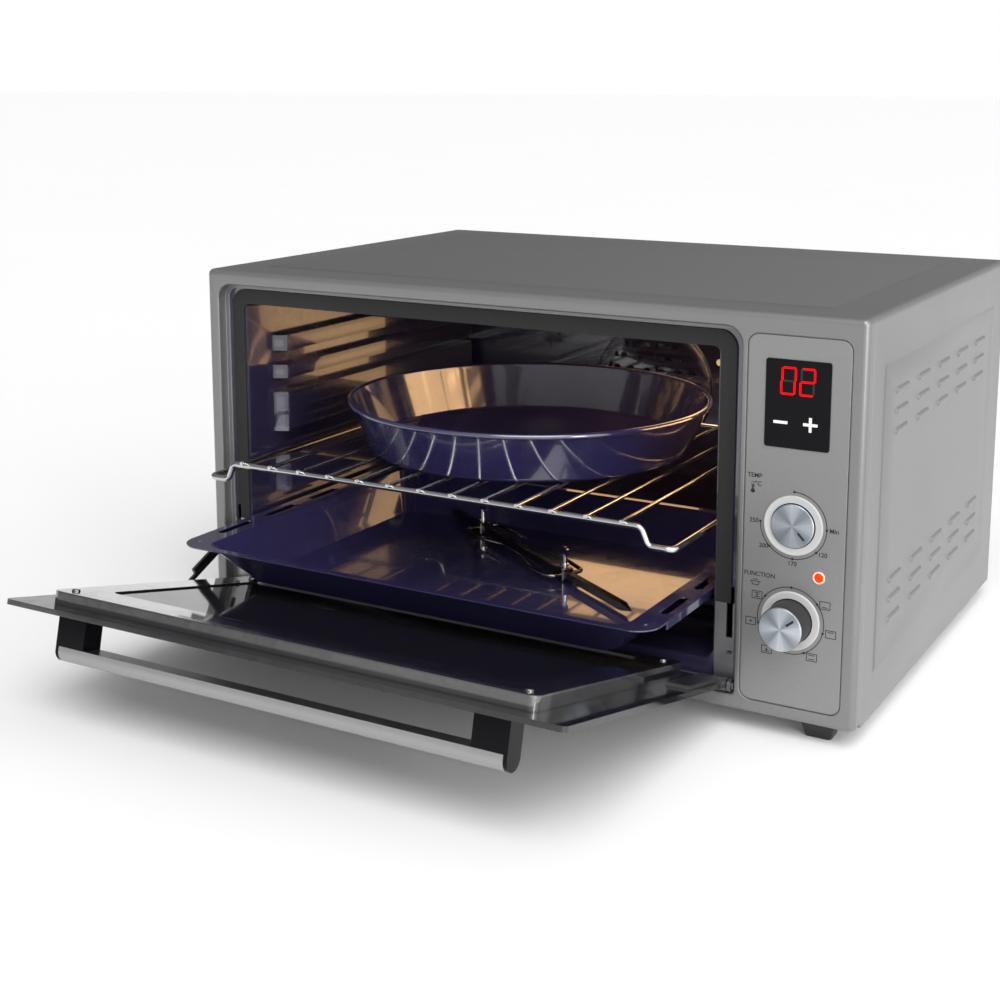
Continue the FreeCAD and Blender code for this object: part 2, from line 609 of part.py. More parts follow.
def door_outer_glass():
    pane = soften(on_door("doorWidth", "-glassOut", "glassThick", "-doorBelow", "doorTop"), 4,
                  lambda e: runs("y")(e) and e.BoundBox.ZMin > cell("doorTop") / 2)
    notches = [on_door("notchWide*2", "-glassOut-1", "glassThick+2", "-doorBelow-1", "notchTall-doorBelow",
                       f"ovenX+{hand}*doorWidth/2") for hand in (-1, 1)]
    return cut(pane, *notches)


def door_frame():
    """Shallow pressed tray that stands the inner pane off the outer one."""
    inside = "glassThick-glassOut"
    tray = soften(on_door("boxWidth", inside, "boxThick", "boxFoot", "boxTop"), 6,
                  lambda e: runs("y")(e))
    hollow = on_door("boxWidth-2*boxWall", f"{inside}-1", "boxThick+1-boxWall",
                     "boxFoot+boxWall", "boxTop-boxWall")
    hollow = soften(hollow, 4.8, lambda e: runs("y")(e))
    window = rounded(("windowWidth", "boxThick+4", "windowTop-windowFoot"),
                     ("ovenX-windowWidth/2", f"{pivotY}+{inside}", f"{pivotZ}+windowFoot"), 8)
    holes = [round_bar("1.6", "20", (f"ovenX+{x}*(boxWidth/2-12)", pivotY, f"{pivotZ}+{z}"), "y")
             for x in (-1, 1) for z in ("boxFoot+12", "boxTop-12")]
    return cut(tray, hollow, window, *holes)


def door_inner_glass():
    pane = on_door("windowWidth+16", "boxThick-boxWall-glassOut", "glassThick",
                   "windowFoot-8", "windowTop+8")
    return soften(pane, 3, runs("y"))


def door_screws():
    """Four screws through the door frame into the outer pane's bonded studs."""
    screws = []
    face = cell("pivotInset") + cell("glassThick") - cell("glassOut") + cell("boxThick")
    for x in (-1, 1):
        for z in ("boxFoot+12", "boxTop-12"):
            spot = (f"ovenX+{x}*(boxWidth/2-12)", f"{pivotZ}+{z}")
            top = f"{pivotY}+glassThick-glassOut+boxThick"
            head = soften(round_bar("3.2", "1.6", (spot[0], top, spot[1]), "y"), 0.9,
                          lambda e: e.BoundBox.YMin > front_y(face + 1))
            stud = round_bar("1.5", "boxThick", (spot[0], f"{top}-boxThick", spot[1]), "y")
            screws += [head, stud]
    return fuse(*screws)


def round_nose(shape):
    """Rounds the outer side of a handle piece to a half circle across its height."""
    outer = front_y(cell("pivotInset") - cell("handleOut"))
    radius = cell("handleWide") / 2 - 0.1
    return soften(shape, radius, lambda e: runs("x")(e) and e.BoundBox.YMax < outer + 1)


def handle_bar():
    bar = on_door("handleLength", "-handleOut", "handleThick", "handleRise-handleWide/2",
                  "handleRise+handleWide/2")
    return round_nose(bar)


def handle_bracket(hand):
    """Block between the glass and the bar, with a cheek that closes the bar's end."""
    low, high = "handleRise-handleWide/2", "handleRise+handleWide/2"
    end = f"ovenX+{hand}*handleLength/2"
    neck = on_door("bracketWide+1", "-handleOut+handleThick", "handleOut-handleThick-glassOut", low, high,
                   f"{end}-{hand}*(bracketWide-1)/2")
    cheek = on_door("cheekThick", "-handleOut", "handleOut-glassOut", low, high,
                    f"{end}+{hand}*cheekThick/2")
    return fuse(neck, round_nose(cheek))


def door_lug(hand):
    """Hinge lug in the glass's corner notch. The left one has the ear that carries the hinge arm."""
    inside = "glassThick-glassOut"
    outer = "recessWidth/2-5"
    inner = "doorWidth/2-notchWide+1"
    x = f"ovenX+{hand}*({outer}+{inner})/2"
    wide = f"({outer})-({inner})"
    eye = round_bar("5", wide, (f"({x})-({wide})/2", pivotY, pivotZ), "x")
    web = on_door(wide, "-glassOut", "glassThick+2", "0", "notchTall-doorBelow-0.2", x)
    tab = on_door("notchWide-4", inside, "2.4", "notchTall-doorBelow-4", "armFoot+6",
                  f"ovenX+{hand}*(doorWidth/2-notchWide/2-2)")
    bore = round_bar("pinRadius+runFit", "40", (f"({x})-20", pivotY, pivotZ), "x")
    lug = cut(fuse(eye, web, tab), bore)
    if hand > 0:
        return lug
    ear = on_door("2.6", inside, "5", "armFoot-9", "armFoot+6", "ovenX-armX+armThick/2+1.6")
    foot = (f"{pivotY}+armIn", f"{pivotZ}+armFoot")
    pin = round_bar("armPin", "armThick+1.9", ("ovenX-armX-armThick/2-0.4", *foot), "x")
    head = round_bar("armPin+0.6", "0.6", ("ovenX-armX-armThick/2-0.8", *foot), "x")
    return fuse(lug, ear, pin, head)


def hinge_arm():
    """Flat steel arm from the door's left ear through the slotted plate, with a hooked end."""
    foot_y, foot_z = f"{pivotY}+armIn", f"{pivotZ}+armFoot"
    x = "ovenX-armX"
    eye = round_bar("3.2", "armThick", (f"({x})-armThick/2", foot_y, foot_z), "x")
    bar = centred("armThick", "armLength", "armTall", x, foot_y, f"{foot_z}-0.5")
    relief = centred("armThick+2", "armTall", "armTall", x, f"{foot_y}-3", f"{foot_z}+3.2")
    notch = centred("armThick+2", "6", "4", x, f"{foot_y}+armLength-14", f"{foot_z}-1")
    bore = round_bar("armPin+runFit", "40", (f"({x})-20", foot_y, foot_z), "x")
    return cut(fuse(eye, bar), relief, notch, bore)


def swing_arm(item):
    """Place an arm with the door open: its foot follows the door, its own tilt is armOpen."""
    down = FreeCAD.Rotation(vec(1, 0, 0), cell("doorOpen"))
    pivot = vec(0, front_y(cell("pivotInset")), up(cell("pivotRise")))
    foot = pivot + vec(0, cell("armIn"), cell("armFoot"))
    moved = pivot + down.multVec(foot - pivot)
    tilt = FreeCAD.Rotation(vec(1, 0, 0), cell("armOpen"))
    item.Placement = FreeCAD.Placement(moved - tilt.multVec(foot), tilt)
    return item


# ---- rack, pan and tray ----------------------------------------------------

def wire_rack():
    """Dropped-side frame with straight rods welded across it."""
    middle, half = cell("ovenX"), cell("rackWidth") / 2
    low, high = up(cell("rackLow")), up(cell("rackHigh"))
    near = front_y(0) - cell("rackOut") + cell("rackWire") / 2 + 5
    far = front_y(0) - cell("rackOut") + cell("rackDepth") - cell("rackWire") / 2
    side, flat = half, cell("rackFlat") / 2
    shoulder = flat + 6
    shapes = []
    for y, away in ((near, 1), (far, -1)):
        middle_y = (near + far) / 2
        points = [vec(middle - side, middle_y, low), vec(middle - side, y, low),
                  vec(middle - shoulder, y, low), vec(middle - flat, y, high),
                  vec(middle + flat, y, high), vec(middle + shoulder, y, low),
                  vec(middle + side, y, low), vec(middle + side, middle_y, low)]
        shapes.append(shaped(tube(points, cell("rackWire") / 2, cell("rackBend"))))
    rod_z = f"footHeight+rackHigh+(rackWire+rodWire)/2-rodSink"
    for number in range(int(cell("rodCount"))):
        offset = number - (cell("rodCount") - 1) / 2
        shapes.append(round_bar("rodWire/2", "rackDepth-1", (f"ovenX+{offset}*rodPitch",
                                                             f"{front}-rackOut+1", rod_z), "y"))
    return fuse(*shapes)


def round_pan():
    """Round baking pan that stands on the rods."""
    rest = "footHeight+rackHigh+(rackWire+rodWire)/2-rodSink+rodWire/2+0.02"
    centre_y = f"{front}+panBack"

    def cone(base, top, height, z):
        item = doc.addObject("Part::Cone", "Bowl")
        bind(item, "Radius1", base)
        bind(item, "Radius2", top)
        bind(item, "Height", height)
        place(item, ("ovenX", centre_y, z))
        return item

    outer = soften(cone("panBase", "panRadius-panBead*1.5", "panHeight-panBead", rest), 5,
                   lambda e: e.BoundBox.ZMax < up(cell("rackHigh")) + 12)
    inner = cone("panBase-panWall", "panRadius-panBead*1.5-panWall", "panHeight", f"{rest}+panWall")
    inner = soften(inner, 4, lambda e: e.BoundBox.ZMax < up(cell("rackHigh")) + 12)
    bead = doc.addObject("Part::Torus", "Bead")
    bind(bead, "Radius1", "panRadius-panBead")
    bind(bead, "Radius2", "panBead")
    place(bead, ("ovenX", centre_y, f"{rest}+panHeight-panBead"))
    return fuse(cut(outer, inner), bead)


def baking_tray():
    """Deep-drawn tray with slotted side flanges and hemmed edges."""
    middle, half = cell("ovenX"), cell("trayWidth") / 2
    near, far = front_y(-cell("trayOut")), front_y(cell("trayDepth") - cell("trayOut"))
    top, wall = up(cell("trayRim")), cell("trayWall")
    floor_z = top - cell("trayDeep")

    def well(inset, bottom):
        def ring(z, side, ends, radius):
            return rim_wire(middle - half + side + inset, middle + half - side - inset,
                            near + ends + inset, far - ends - inset, z, radius - inset)
        side, ends = cell("rimSide"), cell("rimFront")
        low = ring(bottom, side + cell("slopeSide"), ends + cell("slopeFront"), cell("trayRound"))
        return Part.makeLoft([low, ring(top, side, ends, cell("trayRound"))], True, True)

    rim_edge = rim_wire(middle - half, middle + half, near, far, top - wall, 20)
    rim = Part.Face(rim_edge).extrude(vec(0, 0, wall))
    hems = [Part.makeBox(wall, far - near - 60, cell("trayHem") + wall / 2,
                         vec(x, near + 30, top - wall / 2 - cell("trayHem") - wall / 2))
            for x in (middle - half, middle + half - wall)]
    shell = rim.fuse(hems + [well(0, floor_z)]).cut(well(wall, floor_z + wall))
    slots = []
    for hand in (-1, 1):
        x = middle + hand * (half - cell("rimSide") / 2 + 1)
        for number in (-1.5, -0.5, 0.5, 1.5):
            y = (near + far) / 2 + number * cell("slotPitch")
            slot = Part.makeBox(7, cell("rimSlot"), 6, vec(x - 3.5, y - cell("rimSlot") / 2, top - 3))
            slots.append(slot.makeFillet(3.4, [e for e in slot.Edges if e.BoundBox.ZLength > 5]))
        slots.append(Part.makeCylinder(2, 6, vec(x, near + 17, top - 3)))
        slots.append(Part.makeCylinder(2, 6, vec(x, far - 17, top - 3)))
    return shaped(shell.cut(Part.makeCompound(slots)))


def along_spit(item, distance=0):
    """Place an item drawn along +X at a distance from the tip of the spit on the tray."""
    turn = FreeCAD.Rotation(vec(0, 0, 1), cell("spitTurn"))
    at = vec(cell("spitX"), front_y(cell("spitBack")), up(cell("spitRise")))
    at += turn.multVec(vec(distance, 0, 0))
    item.Placement = FreeCAD.Placement(at, turn)
    return item


def spit_rod():
    """Square rod with a pointed tip."""
    side, length = cell("spitSide"), cell("spitLength")
    def square(half, x):
        corners = [(-half, -half), (half, -half), (half, half), (-half, half), (-half, -half)]
        return Part.makePolygon([vec(x, y, z) for y, z in corners])
    tip = Part.makeLoft([square(0.4, 0), square(side / 2, 12)], True, True)
    rod = Part.makeBox(length - 12, side, side, vec(12, -side / 2, -side / 2))
    notch = Part.makeBox(3, side + 2, 1.2, vec(length - 14, -side / 2 - 1, side / 2 - 1.2))
    return along_spit(shaped(tip.fuse(rod).cut(notch).removeSplitter()))


def spit_fork(distance, toward):
    """Sliding hub with two prongs; toward is +1 for prongs that point away from the tip."""
    hub_half, side, radius = cell("hubSide") / 2, cell("spitSide"), cell("forkWire") / 2
    spread, reach = cell("forkSpread"), cell("forkReach")
    hub = Part.makeBox(2 * hub_half, 2 * hub_half, 2 * hub_half, vec(-hub_half, -hub_half, -hub_half))
    hub = hub.makeFillet(1, hub.Edges)
    arms = []
    for hand in (-1, 1):
        points = [vec(-2 * toward, hand * (hub_half - 2), 0), vec(-2 * toward, hand * spread, 0),
                  vec(toward * reach * 0.5, hand * (spread + 2), 0),
                  vec(toward * reach, hand * (spread - 3), 2)]
        arms.append(tube(points, radius, 7))
        tip = Part.makeCone(radius, 0.3, 9, points[3], points[3] - points[2])
        arms.append(tip)
    body = hub.fuse(arms)
    gap = cell("runFit")
    bore = Part.makeBox(4 * hub_half, side + 2 * gap, side + 2 * gap, vec(-2 * hub_half, -side / 2 - gap,
                                                                         -side / 2 - gap))
    thread = Part.makeCylinder(2 + gap, 20, vec(0, 0, side / 2))
    return along_spit(shaped(body.cut(bore).cut(thread)), distance)


def fork_screw(distance):
    """Thumbscrew that clamps a fork on the rod."""
    side, hub_half = cell("spitSide"), cell("hubSide") / 2
    stem = Part.makeCylinder(2, 14, vec(0, 0, side / 2 + 0.05))
    collar = Part.makeCylinder(3.4, 1.6, vec(0, 0, hub_half + 1.2))
    wing = Part.makeBox(10, 2, 8, vec(-5, -1, side / 2 + 12))
    corners = [e for e in wing.Edges if e.BoundBox.YLength > 1.9 and e.BoundBox.ZLength < 0.1]
    wing = wing.makeFillet(2.4, corners)
    return along_spit(shaped(stem.fuse([collar, wing])), distance)


# ---- works ----------------------------------------------------------------

def element(rise):
    """Two sheathed heating loops entering from the right wall."""
    right = cell("ovenX") + cell("cavityWidth") / 2 + 14
    left = cell("ovenX") - cell("cavityWidth") / 2 + 34
    loops = []
    for near, far in ((110, 170), (210, 270)):
        points = [vec(right, front_y(near), up(rise)), vec(left, front_y(near), up(rise)),
                  vec(left, front_y(far), up(rise)), vec(right, front_y(far), up(rise))]
        loops.append(tube(points, cell("elementRadius"), 20))
    return shaped(Part.makeCompound(loops))


def insulation():
    """Blanket over the roof, on the left wall and on the floor."""
    x, half = "ovenX", "cavityWidth/2+sheetWall"
    back = f"{front}+cavityStart+sheetWall+4"
    deep = "cavityDepth-20"
    roof = centred("cavityWidth", deep, "9", x, back, "footHeight+cavityFloor+cavityHeight+sheetWall+0.1")
    left = centred("8", deep, "cavityHeight-20", f"ovenX-({half})-4.1", back,
                   "footHeight+cavityFloor+10")
    below = centred("cavityWidth", deep, "9", x, back, "footHeight+cavityFloor-sheetWall-9.1")
    return group(roof, left, below)


def heat_shield():
    plate = block(("sheetWall", "bodyDepth-frameDepth-8", "bodyHeight-8"),
                  ("shieldX", f"{front}+frameDepth", "footHeight+sheetWall"))
    drive = round_bar("9", "10", ("shieldX-5", f"{front}+driveBack", "footHeight+driveRise"), "x")
    slots = [block(("10", "3", "60"), ("shieldX-5", f"{front}+{y}", f"footHeight+{z}"))
             for y in (120, 132, 144, 270, 282, 294) for z in (60, 190)]
    wires = [round_bar("6", "10", ("shieldX-5", f"{front}+{back}", "footHeight+probeRise"), "x")
             for back in ("probeBack", "bulbBack")]
    return cut(plate, drive, *slots, *wires)


def lamp_glass():
    """Screw-in dome of the oven lamp."""
    near = "ovenX+cavityWidth/2"
    rim = round_bar("bulbRim", "1.5", (f"{near}-1.5", f"{front}+bulbBack", "footHeight+bulbRise"), "x")
    dome = doc.addObject("Part::Sphere", "Dome")
    bind(dome, "Radius", "12.5")
    place(dome, (near, f"{front}+bulbBack", "footHeight+bulbRise"))
    hollow = doc.addObject("Part::Sphere", "Hollow")
    bind(hollow, "Radius", "11")
    place(hollow, (near, f"{front}+bulbBack", "footHeight+bulbRise"))
    neck = round_bar("12.5", "6", (near, f"{front}+bulbBack", "footHeight+bulbRise"), "x")
    bore = round_bar("11", "30", (near, f"{front}+bulbBack", "footHeight+bulbRise"), "x")
    outside = round_bar("30", "30", (f"{near}+6", f"{front}+bulbBack", "footHeight+bulbRise"), "x")
    return cut(fuse(rim, dome, neck), hollow, bore, outside)


def oven_lamp():
    """Bulb and its socket."""
    near = "ovenX+cavityWidth/2"
    bulb = soften(round_bar("6", "16", (f"{near}-6", f"{front}+bulbBack", "footHeight+bulbRise"), "x"), 5.9,
                  lambda e: e.BoundBox.XMax < cell("ovenX") + cell("cavityWidth") / 2 - 5)
    socket = round_bar("9", "9", (f"{near}+9", f"{front}+bulbBack", "footHeight+bulbRise"), "x")
    plate = block(("1", "34", "34"), (f"{near}+18", f"{front}+bulbBack-17", "footHeight+bulbRise-17"))
    return fuse(bulb, socket, plate)


def temperature_probe():
    """Thermostat bulb clipped high on the right wall."""
    near = "ovenX+cavityWidth/2-6"
    bulb = round_bar("2.5", "64", (near, f"{front}+probeBack-34", "footHeight+probeRise"), "y")
    lead = round_bar("1.4", "20", (near, f"{front}+probeBack", "footHeight+probeRise"), "x")
    clip = block(("4", "5", "8"), (f"{near}+2", f"{front}+probeBack-16", "footHeight+probeRise-4"))
    return fuse(bulb, lead, clip)


def fan_guard():
    """Slotted plate over the fan opening."""
    face = f"{front}+cavityStart+cavityDepth"
    plate = soften(round_bar("fanRadius+8", "4", ("ovenX", f"{face}-4", "footHeight+fanRise"), "y"), 2,
                   lambda e: e.BoundBox.YMax < front_y(cell("cavityStart") + cell("cavityDepth") - 3))
    hollow = round_bar("fanRadius+6.8", "4", ("ovenX", f"{face}-2.8", "footHeight+fanRise"), "y")
    slots = []
    for rise in range(-42, 43, 12):
        wide = 2 * math.sqrt(52 ** 2 - rise ** 2)
        slots.append(centred(f"{wide:.2f}", "10", "5", "ovenX", f"{face}-8",
                             f"footHeight+fanRise+{rise}-2.5"))
    rib = centred("6", "1.2", "2*fanRadius", "ovenX", f"{face}-4", "footHeight+fanRise-fanRadius")
    return fuse(cut(plate, hollow, *slots), rib)


def fan_wheel():
    """Pressed wheel with radial blades."""
    face = f"{front}+cavityStart+cavityDepth+sheetWall+3"
    disc = round_bar("fanRadius", "1.2", ("ovenX", f"{face}+11", "footHeight+fanRise"), "y")
    hub = round_bar("7", "14", ("ovenX", f"{face}-1", "footHeight+fanRise"), "y")
    blades = []
    centre = vec(cell("ovenX"), front_y(cell("cavityStart") + cell("cavityDepth") + 4), up(cell("fanRise")))
    for number in range(10):
        blade = Part.makeBox(cell("fanRadius") - 24, 11.5, 1.2, centre + vec(20, 0, -0.6))
        blade.rotate(centre, vec(0, 1, 0), 36 * number)
        blades.append(shaped(blade))
    bore = round_bar("3+runFit", "30", ("ovenX", f"{face}-5", "footHeight+fanRise"), "y")
    return cut(fuse(disc, hub, *blades), bore)


def fan_shroud():
    """Pan behind the cavity that carries the motor."""
    face = f"{front}+cavityStart+cavityDepth+sheetWall"
    cup = round_bar("fanRadius+14", "19", ("ovenX", face, "footHeight+fanRise"), "y")
    room = round_bar("fanRadius+13", "18", ("ovenX", face, "footHeight+fanRise"), "y")
    hole = round_bar("6", "30", ("ovenX", face, "footHeight+fanRise"), "y")
    return cut(cup, room, hole)


def fan_motor():
    face = f"{front}+cavityStart+cavityDepth+sheetWall+19"
    can = soften(round_bar("26", "28", ("ovenX", face, "footHeight+fanRise"), "y"), 2,
                 lambda e: e.BoundBox.YMin > front_y(cell("cavityStart") + cell("cavityDepth") + 40))
    shaft = round_bar("3", "19", ("ovenX", f"{face}-16", "footHeight+fanRise"), "y")
    return fuse(can, shaft)


def rotisserie_motor():
    near = "shieldX+sheetWall"
    case = soften(block(("24", "50", "50"), (near, f"{front}+driveBack-25", "footHeight+driveRise-25")), 4,
                  runs("x"))
    bore = round_bar("4+runFit", "14", (f"{near}-1", f"{front}+driveBack", "footHeight+driveRise"), "x")
    return cut(case, bore)


def spit_drive():
    """Socket that turns the spit, on the motor's shaft."""
    near = "ovenX+cavityWidth/2-guideRaise-6"
    shaft = round_bar("4", "shieldX+sheetWall+10-(ovenX+cavityWidth/2-guideRaise-6)",
                      (near, f"{front}+driveBack", "footHeight+driveRise"), "x")
    cup = round_bar("6", "14", (near, f"{front}+driveBack", "footHeight+driveRise"), "x")
    hole = centred("24", "spitSide+0.8", "spitSide+0.8", near, f"{front}+driveBack-spitSide/2-0.4",
                   "footHeight+driveRise-spitSide/2-0.4")
    return cut(fuse(shaft, cup), hole)


def spit_rest():
    """Hooked bracket on the left wall."""
    face = "ovenX-cavityWidth/2+guideRaise"
    plate = block(("1.2", "30", "20"), (face, f"{front}+driveBack-15", "footHeight+driveRise-18"))
    shelf = block(("12", "20", "6"), (face, f"{front}+driveBack-10", "footHeight+driveRise-10"))
    seat = block(("20", "8", "20"), (f"{face}-2", f"{front}+driveBack-4", "footHeight+driveRise-6"))
    return cut(fuse(plate, shelf), seat)


def terminal_block():
    base = block(("26", "36", "16"), ("210", f"{front}+330", "footHeight+sheetWall"))
    wells = [round_bar("3", "10", (f"{210 + x}", f"{front}+{y}", "footHeight+sheetWall+10"), "z")
             for x in (7, 19) for y in (337, 348, 359)]
    return cut(base, *wells)


def case_screws():
    """Pan-head screws round the back sheet and in the flange of the oven's mouth."""
    back = cell("bodyDepth") / 2
    screws = []
    for x in (-282, -100, 100, 282):
        for z in (9, 292):
            head = round_bar("3.4", "2", (f"{x}", "bodyDepth/2", f"footHeight+{z}"), "y")
            screws.append(soften(head, 1, lambda e: e.BoundBox.YMin > back + 1))
    return group(*screws)


finish(feet(), "feet")
finish(base_plate(), "base_plate")
finish(housing_wrapper(), "housing_wrapper")
finish(rear_cover(), "rear_cover")
finish(cord_inlet(), "cord_inlet")
finish(front_frame(), "front_frame")
finish(control_panel(), "control_panel")
finish(display_window(), "display_window")
finish(indicator_lamp(), "indicator_lamp")
for name, rise, out in (("temperature", "tempRise", "0"), ("function", "functionRise", "knobPop")):
    finish(dial_ring(rise), f"{name}_dial_ring")
    finish(knob(rise, out), f"{name}_knob")
    finish(dial_shaft(rise), f"{name}_shaft")
finish(switch_body("tempRise", 34, 34, 26), "thermostat")
finish(switch_body("functionRise", 40, 36, 32), "function_switch")
finish(timer_board(), "timer_board")
finish(cavity_liner(), "cavity_liner")
finish(door_seal(), "door_seal")
for side, hand in (("left", -1), ("right", 1)):
    finish(hinge_plate(hand), f"hinge_plate_{side}")
    finish(swing(handle_bracket(hand)), f"handle_bracket_{side}")
    finish(swing(door_lug(hand)), f"door_lug_{side}")
finish(swing_arm(hinge_arm()), "hinge_arm_left")
finish(group(hinge_pin(-1), hinge_pin(1)), "hinge_pins")
finish(group(hinge_spring(-1), hinge_spring(1)), "hinge_springs")
finish(swing(door_outer_glass()), "door_outer_glass")
finish(swing(door_frame()), "door_frame")
finish(swing(door_inner_glass()), "door_inner_glass")
finish(swing(door_screws()), "door_screws")
finish(swing(handle_bar()), "handle_bar")
finish(wire_rack(), "wire_rack")
finish(round_pan(), "round_pan")
finish(baking_tray(), "baking_tray")
finish(spit_rod(), "spit_rod")
for name, distance, toward in (("front", "forkOne", 1), ("rear", "forkTwo", -1)):
    finish(spit_fork(cell(distance), toward), f"{name}_fork")
    finish(fork_screw(cell(distance)), f"{name}_fork_screw")
finish(element(cell("upperElement")), "upper_element")
finish(element(cell("lowerElement")), "lower_element")
finish(insulation(), "insulation")
finish(case_screws(), "case_screws")
finish(heat_shield(), "heat_shield")
finish(lamp_glass(), "lamp_glass")
finish(oven_lamp(), "oven_lamp")
finish(temperature_probe(), "temperature_probe")
finish(fan_guard(), "fan_guard")
finish(fan_wheel(), "fan_wheel")
finish(fan_shroud(), "fan_shroud")
finish(fan_motor(), "fan_motor")
finish(rotisserie_motor(), "rotisserie_motor")
finish(spit_drive(), "spit_drive")
finish(spit_rest(), "spit_rest")
finish(terminal_block(), "terminal_block")

doc.recompute()
for item in doc.Objects:
    if {"Invalid", "Error"} & set(item.State):
        raise RuntimeError(f"{item.Name} ({item.Label}) failed: {item.State}")
os.makedirs("parts", exist_ok=True)
for item in parts:
    if item.Shape.isNull() or not item.Shape.isValid():
        raise RuntimeError(f"{item.Label} has no valid shape")
    item.Shape.exportStep(f"parts/{item.Label}.step")
    box = item.Shape.BoundBox
    print(f"{item.Label:24s} {len(item.Shape.Solids):3d} solids  {item.Shape.Volume / 1000:9.1f} cm3"
          f"  x {box.XMin:7.1f}..{box.XMax:6.1f}  y {box.YMin:7.1f}..{box.YMax:6.1f}"
          f"  z {box.ZMin:6.1f}..{box.ZMax:6.1f}")
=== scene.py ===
# A countertop oven with its door open: a pan on the rack, a tray, and a spit lying in the tray.
import json
import math

import bpy
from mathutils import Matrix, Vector

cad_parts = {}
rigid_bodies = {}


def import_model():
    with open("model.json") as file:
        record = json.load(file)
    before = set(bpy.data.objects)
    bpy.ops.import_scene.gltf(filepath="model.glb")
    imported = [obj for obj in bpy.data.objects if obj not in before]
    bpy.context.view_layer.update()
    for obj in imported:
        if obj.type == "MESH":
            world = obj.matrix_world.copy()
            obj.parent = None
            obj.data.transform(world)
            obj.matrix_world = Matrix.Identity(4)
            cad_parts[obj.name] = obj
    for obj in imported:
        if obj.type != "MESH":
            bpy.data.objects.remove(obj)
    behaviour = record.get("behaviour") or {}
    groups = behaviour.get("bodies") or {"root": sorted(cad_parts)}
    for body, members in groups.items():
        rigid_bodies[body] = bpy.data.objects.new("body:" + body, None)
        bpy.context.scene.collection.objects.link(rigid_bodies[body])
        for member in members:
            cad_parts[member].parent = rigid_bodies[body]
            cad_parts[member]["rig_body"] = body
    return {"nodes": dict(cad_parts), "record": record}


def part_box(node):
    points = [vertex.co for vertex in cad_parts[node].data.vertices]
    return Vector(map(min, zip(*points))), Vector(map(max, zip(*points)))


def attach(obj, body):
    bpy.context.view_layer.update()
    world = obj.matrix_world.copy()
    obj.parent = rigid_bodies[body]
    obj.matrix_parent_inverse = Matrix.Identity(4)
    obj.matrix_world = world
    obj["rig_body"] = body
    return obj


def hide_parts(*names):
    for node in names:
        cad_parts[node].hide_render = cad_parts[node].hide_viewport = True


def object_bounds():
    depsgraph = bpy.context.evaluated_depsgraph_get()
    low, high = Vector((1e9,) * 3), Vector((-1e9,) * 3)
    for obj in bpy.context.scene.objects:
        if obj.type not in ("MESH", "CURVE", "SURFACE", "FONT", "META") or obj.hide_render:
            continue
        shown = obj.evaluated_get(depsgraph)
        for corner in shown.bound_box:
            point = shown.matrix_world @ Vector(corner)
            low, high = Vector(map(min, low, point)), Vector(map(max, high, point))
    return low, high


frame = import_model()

cadLow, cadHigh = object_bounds()
mm = 0.001
print("frame loaded", len(frame["nodes"]), "nodes")


def newGroup(name, inputs, outputs):
    group = bpy.data.node_groups.new(name, "ShaderNodeTree")
    for label, value in inputs.items():
        kind = "NodeSocketColor" if isinstance(value, tuple) else "NodeSocketFloat"
        socket = group.interface.new_socket(label, in_out="INPUT", socket_type=kind)
        socket.default_value = value
    for label, kind in outputs.items():
        group.interface.new_socket(label, in_out="OUTPUT", socket_type=kind)
    entry = group.nodes.new("NodeGroupInput")
    leave = group.nodes.new("NodeGroupOutput")
    return group, entry, leave


def addNode(tree, kind, settings=None, values=None):
    node = tree.nodes.new(kind)
    for label, value in (settings or {}).items():
        setattr(node, label, value)
    for label, value in (values or {}).items():
        node.inputs[label].default_value = value
    return node


def join(tree, start, end):
    tree.links.new(start, end)


def addMath(tree, operation, *terms, clamp=False):
    # each term is a number, or the output it comes from
    node = addNode(tree, "ShaderNodeMath", {"operation": operation, "use_clamp": clamp})
    for number, term in enumerate(terms):
        if isinstance(term, bpy.types.NodeSocket):
            join(tree, term, node.inputs[number])
        else:
            node.inputs[number].default_value = term
    return node.outputs[0]


def makeGrainGroup():
    # fine speckle and slow clouds, for paint, plastic and enamel
    group, entry, leave = newGroup(
        "fineGrain",
        {"Speckle Size": 900.0, "Cloud Size": 12.0, "Contrast": 0.2},
        {"Speckle": "NodeSocketFloat", "Cloud": "NodeSocketFloat"})
    coords = addNode(group, "ShaderNodeTexCoord")
    speckle = addNode(group, "ShaderNodeTexNoise", values={"Detail": 2.0, "Roughness": 0.6})
    cloud = addNode(group, "ShaderNodeTexNoise", values={"Detail": 4.0, "Roughness": 0.55})
    low = addMath(group, "SUBTRACT", 0.5, entry.outputs["Contrast"])
    high = addMath(group, "ADD", 0.5, entry.outputs["Contrast"])
    for noise, size, out in ((speckle, "Speckle Size", "Speckle"), (cloud, "Cloud Size", "Cloud")):
        join(group, coords.outputs["Object"], noise.inputs["Vector"])
        join(group, entry.outputs[size], noise.inputs["Scale"])
        spread = addNode(group, "ShaderNodeMapRange")
        join(group, noise.outputs["Fac"], spread.inputs["Value"])
        join(group, low, spread.inputs["To Min"])
        join(group, high, spread.inputs["To Max"])
        join(group, spread.outputs["Result"], leave.inputs[out])
    return group


